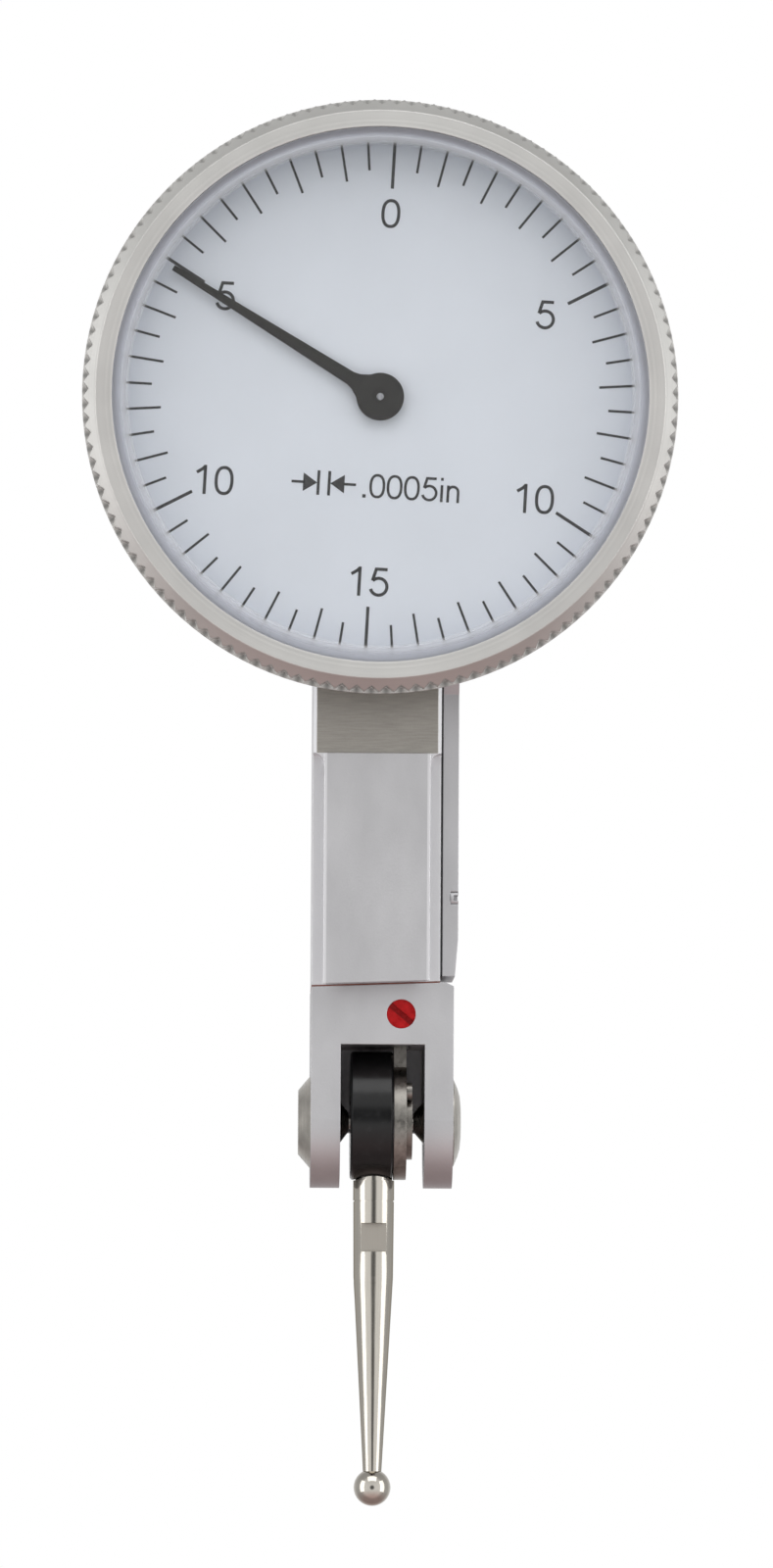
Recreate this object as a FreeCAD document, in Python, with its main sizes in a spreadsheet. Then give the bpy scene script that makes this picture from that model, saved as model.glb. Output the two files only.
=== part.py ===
import FreeCAD, Part
import math
import os
import re
import Sketcher

# Lever type dial test indicator, in millimetres.
# +Z runs up the body from the stylus to the dial, +X is the right flank with the cover plate,
# and the dial faces -Y.  The origin is the centre of the front dovetail's face, by which the
# indicator is held.  Every piece is drawn from the pivot, the point where the lever's axis
# crosses the stylus axis, and place() moves it to that origin.  Lengths called "forward" are
# counted from the pivot plane towards -Y.

Vector = FreeCAD.Vector
Rotation = FreeCAD.Rotation
doc = FreeCAD.newDocument("dial_test_indicator")
sheet = doc.addObject("Spreadsheet::Sheet", "Sizes")
names = []
pieces = []
volumes = {}

# Body block and its three dovetails
body_width = 6.92  # width of the body block across X
core_depth = 3.55  # pivot plane to the shoulder beside a dovetail
dovetail_height = 1.45  # shoulder to dovetail face
dovetail_width = 5.72  # width of a dovetail face
dovetail_angle = 60  # flank angle of a dovetail in degrees
neck_back = 0.25  # neck face behind the front dovetail face
neck_bevel = 0.2  # chamfer on the long edges of the neck
seam_height = 7.38  # pivot to the seam under the body, at the centre
seam_slope = 0.036  # rise of the seam per mm across X
front_dovetail_top = 19.7  # pivot to the top of the front dovetail
rear_dovetail_top = 31.0  # pivot to the top of the rear dovetail
body_above = 10.7  # dial centre to the shoulder of the end dovetail
left_wall = 0.96  # wall left of the movement cavity
cavity_low = 2.3  # half depth of the cavity below the dial
cavity_high = 3.45  # half depth of the cavity behind the dial
cavity_below = 15.7  # dial centre down to where the cavity starts to widen
cavity_slope = 1.6  # height over which the cavity widens
cavity_above = 6.9  # dial centre to the roof of the cavity
foot_half = 1.75  # half depth of the opening under the cavity
foot_top = 9.5  # pivot to the top of that opening

# Side cover with its gasket and screws
gasket_thick = 0.12  # gasket between body and side cover
gasket_inset = 0.1  # gasket edge behind the cover edge
cover_thick = 0.84  # side cover thickness
cover_bottom = 7.78  # pivot to the lower end of the cover
cover_above = 9.5  # dial centre to the upper end of the cover
cover_low = 3.42  # half depth of the cover below the dial
cover_high = 4.5  # half depth of the cover behind the dial
cover_taper = 0.16  # thinning at the lower end of the cover
cover_taper_length = 2.0  # length of that thinning
cover_screw_low = 12.0  # pivot to the lower cover screws
cover_screw_above = 8.1  # dial centre to the upper cover screws
cover_screw_radius = 0.3  # shank of a cover screw
cover_head_radius = 0.55  # head of a cover screw
cover_head_height = 0.42  # head height of a cover screw
cover_screw_length = 1.3  # thread length in the body

# Fork block
fork_right = 4.21  # centre to the right face of the fork
fork_corner_width = 0.42  # chamfer at the upper right corner, across
fork_corner_height = 0.2  # chamfer at the upper right corner, down
slot_left = 1.87  # centre to the left wall of the slot
slot_right = 2.67  # centre to the right wall of the slot
slot_ceiling = 4.09  # pivot to the ceiling of the slot
web_front = 3.95  # pivot plane to the rear web
web_bottom = 0.42  # lower end of the rear web below the pivot
shim_thick = 0.08  # shim between fork and body
shim_inset = 0.12  # shim edge behind the fork faces
tongue_right = 0.7  # centre to the right side of the tongue
tongue_fit = 0.03  # clearance of the tongue in the body
tongue_top_gap = 0.2  # tongue end below the cavity floor
passage_left = 0.88  # left side of the lever passage
passage_right = 1.9  # right side of the lever passage
passage_half = 1.55  # half depth of the lever passage
lock_x = 1.38  # lock screw, across from the centre
lock_z = 5.73  # lock screw above the pivot
lock_radius = 0.785  # lock screw radius
lock_length = 1.7  # lock screw length
lock_sink = 0.05  # lock screw below the fork face
tongue_screw_x = 0.85  # tongue screw left of the centre
tongue_screw_z = 8.3  # tongue screw above the pivot
tongue_screw_radius = 0.55  # tongue screw radius
tongue_screw_sink = 0.3  # tongue screw below the rear face
slot_wide = 0.3  # screwdriver slot width
slot_deep = 0.25  # screwdriver slot depth

# Pivot of the lever
screw_thread = 1.25  # pivot screw thread radius
left_head = 2.5  # left head, radius at the fork
left_head_flat = 1.75  # left head, radius of the outer flat
left_head_proud = 0.65  # left head, height
right_head = 2.35  # right head, radius at the fork
right_head_flat = 1.45  # right head, radius of the outer flat
right_head_proud = 0.47  # right head, height
cone_base = 1.15  # cone radius at the slot wall
cone_end = 0.5  # cone radius near the axle
cone_gap = 0.08  # cone end short of the axle
point_radius = 0.36  # pivot point radius
point_length = 0.42  # pivot point length
running = 0.04  # running clearance of a turning piece
axle_radius = 0.9  # axle radius
axle_head = 1.3  # axle head radius
axle_head_height = 0.3  # axle head height
cup_depth = 0.55  # depth of the pivot hole in the axle

# Lever, hub and stylus
hub_radius = 3.47  # friction hub radius
hub_rise = 0.365  # hub centre above the pivot
hub_left = 1.3  # centre to the left face of the hub
hub_right = 1.0  # centre to the right face of the hub
hub_edge = 0.1  # bevel of the hub rim
washer_thick = 0.2  # friction washer thickness
washer_radius = 2.1  # friction washer radius
lever_thick = 0.68  # lever plate thickness
lever_radius = 3.1  # lever plate radius round the pivot
lever_root = 0.95  # half width of the lever arm at the pivot
lever_waist = 0.7  # half width of the lever arm at its top
contact_height = 13.8  # pivot to the contact pins
contact_head = 0.75  # lever arm beyond the contact pins
contact_radius = 0.28  # contact pin radius
contact_half = 0.4  # half width of the reversing arm's tip
contact_play = 0.02  # play between pin and arm
nut_radius = 2.0  # lever nut radius
nut_thick = 0.33  # lever nut thickness
stop_radius = 0.46  # stop pin radius
stop_forward = 2.02  # stop pin forward of the pivot
stop_height = 1.62  # stop pin above the pivot
stop_length = 0.3  # stop pin length
stud_radius = 0.7  # stylus thread radius
stud_top = 1.5  # pivot down to the end of the thread
spot_depth = 2.9  # pivot down to the flat under the hub
collar_radius = 1.11  # collar radius
collar_end = 4.22  # pivot down to the collar line
stylus_radius = 1.1  # stylus radius under the collar
line_depth = 0.05  # depth of the line under the collar
line_height = 0.06  # height of that line
flat_top = 5.45  # pivot down to the wrench flats
flat_height = 1.55  # wrench flat height
flat_half = 0.85  # stylus centre to a wrench flat
shoulder_radius = 1.05  # stylus radius where the taper starts
taper_start = 8.75  # pivot down to the taper
tip_radius = 0.48  # stylus radius at the ball
ball_height = 19.7  # pivot down to the ball centre
ball_radius = 1.0  # ball radius

# Movement
dial_height = 38.7  # pivot to the dial centre
pivot_radius = 0.2  # radius of the arbor pivots
pivot_fit = 0.02  # clearance of the arbor pivots
pivot_depth = 0.45  # length of an arbor pivot
arbor_radius = 0.38  # radius of the cross arbors
end_shake = 0.06  # end play of an arbor
bridge_left = 2.15  # centre to the movement bridge
bridge_thick = 0.5  # movement bridge thickness
sector_radius = 17.0  # pitch radius of the sector gear
sector_left = 1.5  # centre to the left face of the sector
sector_thick = 0.5  # sector gear thickness
sector_teeth = 9  # teeth on the sector
pinion_radius = 1.0  # pitch radius of the crown pinion
pinion_teeth = 14  # teeth of the crown pinion
pinion_side = 0.1  # crown pinion wider than the sector, each side
arm_left = 0.25  # centre to the left face of the reversing arm
arm_thick = 0.6  # reversing arm thickness
boss_radius = 1.0  # boss radius of sector and arm
spoke_half = 0.55  # half width of sector and arm at the boss
spoke_window = 0.22  # half width of the sector's window at the boss
crown_radius = 2.8  # crown wheel radius
crown_width = 0.35  # radial width of the crown teeth
crown_teeth = 43  # teeth of the crown wheel
crown_thick = 0.34  # crown wheel web thickness
centre_teeth = 9  # teeth of the centre pinion
tooth_rise = 0.11  # tooth tip beyond the pitch line
tooth_root = 0.15  # tooth root inside the pitch line
centre_pinion_length = 0.8  # centre pinion length
centre_radius = 0.3  # centre arbor radius
bush_radius = 1.1  # centre bush radius
cock_forward = 1.72  # pivot plane to the inner face of the cock
cock_thick = 0.42  # cock thickness
cock_foot = 0.45  # thickness of the cock's foot
cock_back = 0.42  # cock screw behind the inner face of the cock
cock_reach = 0.15  # cock arm beyond the centre arbor
cock_half = 0.95  # half height of the cock's arm
cock_screw_rise = 2.9  # cock screw above the dial centre
collet_radius = 0.62  # hairspring collet radius
collet_thick = 0.36  # hairspring collet thickness
spring_thick = 0.05  # hairspring thickness
spring_high = 0.2  # hairspring height
spring_radius = 2.2  # hairspring outer radius
spring_turns = 4  # hairspring turns
stud_pin = 0.16  # hairspring stud radius
pillar_radius = 0.5  # movement pillar radius
pillar_low = 17.3  # pivot to the lower pillars
pillar_above = 5.2  # dial centre to the upper pillars
pillar_half = 1.72  # centre plane to the lower pillars
pillar_wide = 2.75  # centre plane to the upper pillars
bridge_edge = 0.35  # bridge beyond the pillars
small_head = 0.48  # head radius of a movement screw
small_head_height = 0.3  # head height of a movement screw
small_thread = 0.24  # thread radius of a movement screw
small_length = 0.9  # thread length of a movement screw

# Dial group, forward from the neck face
flange_thick = 0.75  # flange of the dial case
flange_radius = 15.0  # flange radius of the dial case
case_rim = 0.55  # rim of the dial case inside the bezel
rim_fit = 0.1  # clearance of the case rim in the bezel
bezel_gap = 0.1  # gap between bezel and flange
dial_gap = 0.05  # gap between case and dial ring
dial_ring_thick = 0.2  # dial ring thickness
dial_ring_width = 1.0  # dial ring width
dial_thick = 0.3  # dial plate thickness
crystal_ring_height = 1.05  # height of the ring between dial and crystal
crystal_ring_width = 0.55  # width of that ring
crystal_thick = 0.9  # crystal thickness
crystal_bevel = 0.25  # bevel on the rim of the crystal
lip_thick = 0.45  # bezel lip in front of the crystal
lip_hold = 0.2  # bezel lip over the crystal
crystal_radius = 14.6  # crystal and dial radius
crystal_fit = 0.02  # clearance of crystal and dial in the bezel
bezel_radius = 16.0  # bezel rim radius
tooth_drop = 0.07  # tooth tips below the rim
groove_depth = 0.28  # depth of the bezel grooves
groove_share = 0.94  # groove width over groove pitch
grooves = 125  # number of bezel grooves
bezel_chamfer = 0.66  # front chamfer of the bezel, across
chamfer_depth = 0.6  # front chamfer of the bezel, along
band_depth = 1.35  # bezel front to the end of the grooves
rim_depth = 1.75  # bezel front to the back of the rim
skirt_wall = 0.58  # wall of the bezel skirt
wire_height = 0.22  # retaining wire thickness
wire_bite = 0.2  # retaining wire into each groove
wire_fit = 0.03  # clearance of the wire in the grooves
dial_hole = 0.9  # hole in the dial
pointer_gap = 0.3  # dial to pointer
pointer_thick = 0.2  # pointer hub thickness
blade_thick = 0.12  # pointer blade thickness
pointer_hub = 1.28  # pointer hub radius
pointer_length = 13.1  # pointer length
pointer_root = 0.37  # half width of the blade at the hub
pointer_tip = 0.15  # half width of the blade at the tip
pointer_flare = 0.6  # length of the flare at the hub
pointer_angle = 58.3  # pointer left of upright at rest, in degrees
pointer_recess = 0.42  # recess round the spindle end
pointer_recess_depth = 0.08  # depth of that recess
spindle_end = 0.19  # radius of the spindle end
boss_small = 0.55  # radius of the boss under the pointer
case_screw_side = 2.2  # case screws, across
case_screw_rise = 6.2  # case screws above and below the dial centre
case_screw_radius = 0.35  # case screw thread radius
case_screw_head = 0.75  # case screw head radius
case_screw_sunk = 0.5  # case screw head height
case_screw_length = 1.45  # case screw length under the head

# Heights over the pivot that follow the dial centre
followers = {
    "body_top": "=dial_height + body_above",
    "cavity_top": "=dial_height + cavity_above",
    "cavity_widens": "=dial_height - cavity_below",
    "cover_top": "=dial_height + cover_above",
    "cover_screw_high": "=dial_height + cover_screw_above",
    "pillar_high": "=dial_height + pillar_above",
}


def enter(alias, amount):
    """Write a size or a formula into the spreadsheet under its own name."""
    names.append(alias)
    sheet.set("A%d" % len(names), alias.replace("_", " "))
    sheet.set("B%d" % len(names), str(amount))
    sheet.setAlias("B%d" % len(names), alias)


for alias, amount in list(globals().items()):
    if isinstance(amount, (int, float)):
        enter(alias, amount)
doc.recompute()
for alias, rule in followers.items():
    enter(alias, rule)
doc.recompute()


def expand(text):
    """Point each size name in an expression at its cell."""
    return re.sub(r"[a-z]\w*", lambda w: "Sizes." + w.group() if w.group() in names else w.group(), str(text))


def number(text):
    return float(sheet.evalExpression(expand(text)))


# Derived lengths, as expressions over the sheet
half = "(body_width / 2)"
face = "(core_depth + dovetail_height)"
neck = "(core_depth + dovetail_height - neck_back)"
face_half = "(dovetail_width / 2)"
root_half = "(dovetail_width / 2 - dovetail_height / tan(dovetail_angle * 1deg))"
wall = "(body_width / 2 - left_wall)"
cover_in = "(body_width / 2 + gasket_thick)"
cover_out = "(body_width / 2 + gasket_thick + cover_thick)"
lever_in = "(hub_right + running)"
lever_out = "(hub_right + running + lever_thick)"
sector_height = "(dial_height - sector_radius - pinion_radius)"
flange_front = neck + " + flange_thick"
case_front = flange_front + " + case_rim"
dial_back = case_front + " + dial_gap + dial_ring_thick"
dial_front = dial_back + " + dial_thick"
crystal_back = dial_front + " + crystal_ring_height"
crystal_front = crystal_back + " + crystal_thick"
bezel_front = crystal_front + " + lip_thick"
bezel_bore = "(crystal_radius + crystal_fit)"
case_radius = "(crystal_radius + crystal_fit - rim_fit)"
centre_pitch = "(crown_radius * centre_teeth / crown_teeth)"


def seam(x):
    """Height of the slanted seam at a place across X."""
    return "(seam_height + seam_slope * (%s))" % x


def check(thing):
    doc.recompute()
    bad = [word for word in thing.State if word in ("Invalid", "Error")]
    if bad or thing.Shape.isNull() or not thing.Shape.isValid():
        raise RuntimeError("%s does not build: %s" % (thing.Label, bad))
    return thing


def place(thing, x="0", y="0", z="0"):
    """Put a thing at a point counted from the pivot."""
    thing.setExpression("Placement.Base.x", expand(x))
    thing.setExpression("Placement.Base.y", expand("%s + %s" % (y, face)))
    thing.setExpression("Placement.Base.z", expand("%s - (seam_height + front_dovetail_top) / 2" % z))


def new_piece(label, x="0", y="0", z="0"):
    body = doc.addObject("PartDesign::Body", label)
    body.Label = label
    place(body, x, y, z)
    pieces.append(body)
    return body


PLANES = {"X": "YZ_Plane", "F": "XZ_Plane", "Z": "XY_Plane"}


def datum(body, role):
    return next(item for item in body.Origin.OriginFeatures if item.Role == role)


def new_sketch(body, plane, start="0", turn="0"):
    """Sketch on an origin plane of the body, moved along its normal and turned in its plane."""
    sketch = body.newObject("Sketcher::SketchObject", body.Label + "_sketch")
    sketch.AttachmentSupport = [(datum(body, plane), "")]
    sketch.MapMode = "FlatFace"
    if turn != "0":
        sketch.AttachmentOffset = FreeCAD.Placement(Vector(), Rotation(Vector(0, 0, 1), 1))
        sketch.setExpression("AttachmentOffset.Rotation.Angle", expand(turn))
    if start != "0":
        sketch.setExpression("AttachmentOffset.Base.z", expand(start))
    return sketch


def pin_point(sketch, index, place, x, y):
    for kind, text, axis in (("DistanceX", x, -2), ("DistanceY", y, -1)):
        if text == "0":
            sketch.addConstraint(Sketcher.Constraint("PointOnObject", index, place, axis))
        else:
            rule = Sketcher.Constraint(kind, -1, 1, index, place, number(text))
            sketch.setExpression("Constraints[%d]" % sketch.addConstraint(rule), expand(text))


def outline(sketch, corners):
    """Closed outline through corners, each placed from the sketch origin."""
    spots = [Vector(number(x), number(y), 0) for x, y in corners]
    first = sketch.GeometryCount
    count = len(spots)
    for i in range(count):
        sketch.addGeometry(Part.LineSegment(spots[i], spots[(i + 1) % count]), False)
    for i in range(count):
        following = first + (i + 1) % count
        sketch.addConstraint(Sketcher.Constraint("Coincident", first + i, 2, following, 1))
    for i, (x, y) in enumerate(corners):
        pin_point(sketch, first + i, 1, x, y)


def circle(sketch, x, y, radius):
    shape = Part.Circle(Vector(number(x), number(y), 0), Vector(0, 0, 1), number(radius))
    index = sketch.addGeometry(shape, False)
    if x == "0" and y == "0":
        sketch.addConstraint(Sketcher.Constraint("Coincident", index, 3, -1, 1))
    else:
        pin_point(sketch, index, 3, x, y)
    rule = Sketcher.Constraint("Radius", index, number(radius))
    sketch.setExpression("Constraints[%d]" % sketch.addConstraint(rule), expand(radius))


def finish(body, feature, grows):
    body.Tip = feature
    check(feature)
    change = feature.Shape.Volume - volumes.get(body.Label, 0.0)
    if change == 0 or (change > 0) != grows:
        raise RuntimeError("%s changes nothing in %s" % (feature.Label, body.Label))
    volumes[body.Label] = feature.Shape.Volume
    return feature


def raise_pad(body, axis, start, length, loops=(), circles=(), turn="0"):
    """Pad along an axis: X, Z, or F for forward."""
    sketch = new_sketch(body, PLANES[axis], start, turn)
    for corners in loops:
        outline(sketch, corners)
    for x, y, radius in circles:
        circle(sketch, x, y, radius)
    pad = body.newObject("PartDesign::Pad", body.Label + "_pad")
    pad.Profile = sketch
    pad.setExpression("Length", expand(length))
    return finish(body, pad, True)


def cut_pocket(body, axis, start, length, loops=(), circles=(), turn="0"):
    """Pocket that starts at a plane and runs along the axis."""
    sketch = new_sketch(body, PLANES[axis], start, turn)
    for corners in loops:
        outline(sketch, corners)
    for x, y, radius in circles:
        circle(sketch, x, y, radius)
    pocket = body.newObject("PartDesign::Pocket", body.Label + "_pocket")
    pocket.Profile = sketch
    pocket.Reversed = True
    pocket.setExpression("Length", expand(length))
    return finish(body, pocket, False)


def turn_profile(body, axis, profile):
    """Revolve a profile of (along, radius) corners about an axis of the body."""
    if axis == "X":
        sketch = new_sketch(body, "XY_Plane")
        outline(sketch, profile)
        line = "H_Axis"
    elif axis == "F":
        sketch = new_sketch(body, "XY_Plane")
        outline(sketch, [(radius, "-(%s)" % along) for along, radius in profile])
        line = "V_Axis"
    else:
        sketch = new_sketch(body, "XZ_Plane")
        outline(sketch, [(radius, along) for along, radius in profile])
        line = "V_Axis"
    lathe = body.newObject("PartDesign::Revolution", body.Label + "_turned")
    lathe.Profile = sketch
    lathe.ReferenceAxis = (sketch, [line])
    lathe.Angle = 360
    return finish(body, lathe, True)


def repeat(body, feature, axis, count, angle="360", grows=True):
    """Repeat a feature round an axis of the body."""
    pattern = body.newObject("PartDesign::PolarPattern", body.Label + "_pattern")
    pattern.Originals = [feature]
    pattern.Axis = (datum(body, axis + "_Axis"), [""])
    if angle == "360":
        pattern.Angle = 360
    else:
        pattern.setExpression("Angle", expand(angle))
    pattern.setExpression("Occurrences", expand(count))
    return finish(body, pattern, grows)


def ring_profile(start, end, inner, outer):
    return [(start, inner), (start, outer), (end, outer), (end, inner)]


def tooth(pitch_radius, teeth, half_share="0.27"):
    """Straight-sided gear tooth that stands up from the root circle."""
    width = "(%s * 360deg / (%s) / 1rad * %s)" % (pitch_radius, teeth, half_share)
    root = "(%s - tooth_root)" % pitch_radius
    tip = "(%s + tooth_rise)" % pitch_radius
    return [
        ("-1.25 * " + width, "0.97 * " + root),
        ("-0.5 * " + width, tip),
        ("0.5 * " + width, tip),
        ("1.25 * " + width, "0.97 * " + root),
    ]


def box(x0, x1, z0, z1):
    return [(x0, z0), (x1, z0), (x1, z1), (x0, z1)]


HEADINGS = {
    "right": (Rotation(Vector(0, 1, 0), 90), "x", "1"),
    "front": (Rotation(Vector(1, 0, 0), 90), "y", "-1"),
}


def bar(heading, at, start, radius, length):
    """Cylinder that starts at a distance along the heading from a point."""
    turn, letter, sign = HEADINGS[heading]
    rod = doc.addObject("Part::Cylinder", "bar")
    rod.Placement = FreeCAD.Placement(Vector(), turn)
    spot = dict(zip("xyz", at))
    spot[letter] = "%s + %s * (%s)" % (spot[letter], sign, start)
    place(rod, **spot)
    rod.setExpression("Radius", expand(radius))
    rod.setExpression("Height", expand(length))
    return rod


def slotted(heading, at, head, head_height, thread, length):
    """Cheese-head screw; the point is the underside of its head."""
    top = bar(heading, at, "0", head, head_height)
    shank = bar(heading, at, "-(%s)" % length, thread, length)
    whole = doc.addObject("Part::MultiFuse", "screw_blank")
    whole.Shapes = [top, shank]
    groove = doc.addObject("Part::Box", "screw_slot")
    long_side = "2.4 * " + head
    sizes = {"x": long_side, "y": long_side, "z": "slot_wide"}
    _, letter, sign = HEADINGS[heading]
    sizes[letter] = "slot_deep"
    corner = {}
    for key, side, text in zip("xyz", ("Length", "Width", "Height"), at):
        groove.setExpression(side, expand(sizes[key]))
        low = "-(%s) / 2" % sizes[key]
        if key == letter:
            low = "(%s) - slot_deep" % head_height if sign == "1" else "-(%s)" % head_height
        corner[key] = "%s + %s" % (text, low)
    place(groove, **corner)
    screw = doc.addObject("Part::Cut", "screw")
    screw.Base = whole
    screw.Tool = groove
    return check(screw)


def group(label, members):
    """Like pieces of one kind kept together as separate solids."""
    bundle = doc.addObject("Part::Compound", label)
    bundle.Label = label
    bundle.Links = members
    pieces.append(check(bundle))
    return bundle


def dovetail_cuts(body, side, top):
    """Shoulders beside a dovetail; side is 1 for the front and -1 for the rear."""
    sign = "-1" if side > 0 else "1"
    loops = []
    for hand in ("1", "-1"):
        loops.append([
            (hand + " * " + face_half, "%s * (%s + 1)" % (sign, face)),
            (hand + " * " + face_half, "%s * %s" % (sign, face)),
            (hand + " * " + root_half, "%s * core_depth" % sign),
            (hand + " * (%s + 1)" % half, "%s * core_depth" % sign),
            (hand + " * (%s + 1)" % half, "%s * (%s + 1)" % (sign, face)),
        ])
    runout = "(%s - %s)" % (half, face_half)
    below = seam("-body_width")
    cut_pocket(body, "Z", below, "%s - %s - %s" % (top, runout, below), loops)
    start = "core_depth" if side > 0 else "-(%s)" % face
    centres = [(hand + " * " + half, "%s - %s" % (top, runout), runout) for hand in ("1", "-1")]
    for spot in centres:
        cut_pocket(body, "F", start, "dovetail_height", circles=[spot])


def build_body():
    body = new_piece("body_frame")
    slab = [
        ("-" + half, seam("-" + half)),
        (half, seam(half)),
        (half, "body_top"),
        ("-" + half, "body_top"),
    ]
    raise_pad(body, "F", "-" + face, "%s + %s" % (neck, face), [slab])
    pad_face = [
        ("-" + face_half, seam("-" + face_half)),
        (face_half, seam(face_half)),
        (face_half, "front_dovetail_top"),
        ("-" + face_half, "front_dovetail_top"),
    ]
    raise_pad(body, "F", neck, "neck_back", [pad_face])
    dovetail_cuts(body, 1, "front_dovetail_top")
    dovetail_cuts(body, -1, "rear_dovetail_top")
    end = [
        ("-" + root_half, "body_top"),
        (root_half, "body_top"),
        (face_half, "body_top + dovetail_height"),
        ("-" + face_half, "body_top + dovetail_height"),
    ]
    raise_pad(body, "F", "-" + face, "%s + %s" % (neck, face), [end])
    bevels = []
    for hand in ("1", "-1"):
        bevels.append([
            (hand + " * (%s - neck_bevel)" % half, "-" + neck),
            (hand + " * " + half, "-(%s - neck_bevel)" % neck),
            (hand + " * (%s + 1)" % half, "-(%s + 1)" % neck),
        ])
    cut_pocket(body, "Z", "front_dovetail_top", "body_top - front_dovetail_top", bevels)
    wide = "cavity_widens + cavity_slope"
    room = [
        ("-foot_half", seam("-body_width")),
        ("-foot_half", "foot_top"),
        ("-cavity_low", "foot_top"),
        ("-cavity_low", "cavity_widens"),
        ("-cavity_high", wide),
        ("-cavity_high", "cavity_top"),
        ("cavity_high", "cavity_top"),
        ("cavity_high", wide),
        ("cavity_low", "cavity_widens"),
        ("cavity_low", "foot_top"),
        ("foot_half", "foot_top"),
        ("foot_half", seam("-body_width")),
    ]
    cut_pocket(body, "X", "-" + wall, "body_width", [room])
    seats = [("0", "dial_height", "pivot_radius + pivot_fit"), ("0", sector_height, "pivot_radius + pivot_fit")]
    depth = "pivot_depth + end_shake"
    cut_pocket(body, "X", "-%s - %s" % (wall, depth), "%s + 0.1" % depth, circles=seats)
    cock_seat = [("-(cock_forward - cock_back)", "dial_height + cock_screw_rise", "small_thread")]
    cut_pocket(body, "X", "-%s - (small_length - cock_foot)" % wall, "small_length", circles=cock_seat)
    cut_pocket(body, "F", "0", face, circles=[("0", "dial_height", "bush_radius")])
    case_start = "%s + case_rim + flange_thick - case_screw_sunk - case_screw_length" % neck
    for x in ("case_screw_side", "-case_screw_side"):
        for z in ("case_screw_rise", "-case_screw_rise"):
            spot = [(x, "dial_height + " + z, "case_screw_radius")]
            cut_pocket(body, "F", case_start, "case_screw_length", circles=spot)
    for y, z in cover_screw_places():
        spot = [(y, z, "cover_screw_radius")]
        cut_pocket(body, "X", half + " - cover_screw_length", "cover_screw_length + 0.1", circles=spot)
    tongue_spot = [("-tongue_screw_x", "tongue_screw_z", "tongue_screw_radius")]
    cut_pocket(body, "F", "-%s - 0.1" % face, face, circles=tongue_spot)
    return body


def cover_screw_places():
    low = "(cavity_low + core_depth) / 2"
    high = "(cavity_high + %s) / 2" % neck
    return [
        ("-" + low, "cover_screw_low"),
        (low, "cover_screw_low"),
        ("-(%s)" % high, "cover_screw_high"),
        (high, "cover_screw_high"),
    ]


def cover_outline(inset):
    wide = "cavity_widens + cavity_slope"
    low = "(cover_low - %s)" % inset
    high = "(cover_high - %s)" % inset
    return [
        ("-" + low, "cover_bottom + " + inset),
        (low, "cover_bottom + " + inset),
        (low, "cavity_widens"),
        (high, wide),
        (high, "cover_top - " + inset),
        ("-" + high, "cover_top - " + inset),
        ("-" + high, wide),
        ("-" + low, "cavity_widens"),
    ]


def build_cover():
    cover = new_piece("side_cover")
    raise_pad(cover, "X", cover_in, "cover_thick", [cover_outline("0")])
    taper = [
        (cover_out + " - cover_taper", "cover_bottom - 0.01"),
        (cover_out + " + 0.5", "cover_bottom - 0.01"),
        (cover_out + " + 0.5", "cover_bottom + cover_taper_length"),
        (cover_out, "cover_bottom + cover_taper_length"),
    ]
    cut_pocket(cover, "F", "-cover_high", "2 * cover_high", [taper])
    for y, z in cover_screw_places():
        cut_pocket(cover, "X", half, "gasket_thick + cover_thick + 0.1", circles=[(y, z, "cover_screw_radius")])
        head = [(y, z, "cover_head_radius + running")]
        cut_pocket(cover, "X", cover_out + " - cover_head_height", "cover_head_height + 0.1", circles=head)
    gasket = new_piece("cover_gasket")
    raise_pad(gasket, "X", half, "gasket_thick", [cover_outline("gasket_inset")])
    opening = [
        ("-cavity_low", "foot_top"),
        ("-cavity_low", "cavity_widens"),
        ("-cavity_high", "cavity_widens + cavity_slope"),
        ("-cavity_high", "cavity_top"),
        ("cavity_high", "cavity_top"),
        ("cavity_high", "cavity_widens + cavity_slope"),
        ("cavity_low", "cavity_widens"),
        ("cavity_low", "foot_top"),
    ]
    cut_pocket(gasket, "X", half + " - 0.1", "gasket_thick + 0.2", [opening])
    for y, z in cover_screw_places():
        spot = [(y, z, "cover_screw_radius + running")]
        cut_pocket(gasket, "X", half + " - 0.1", "gasket_thick + 0.2", circles=spot)
    screws = []
    for y, z in cover_screw_places():
        at = (cover_out + " - cover_head_height", y, z)
        length = "cover_thick - cover_head_height + gasket_thick + cover_screw_length"
        screws.append(slotted("right", at, "cover_head_radius", "cover_head_height", "cover_screw_radius", length))
    group("cover_screws", screws)


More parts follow.
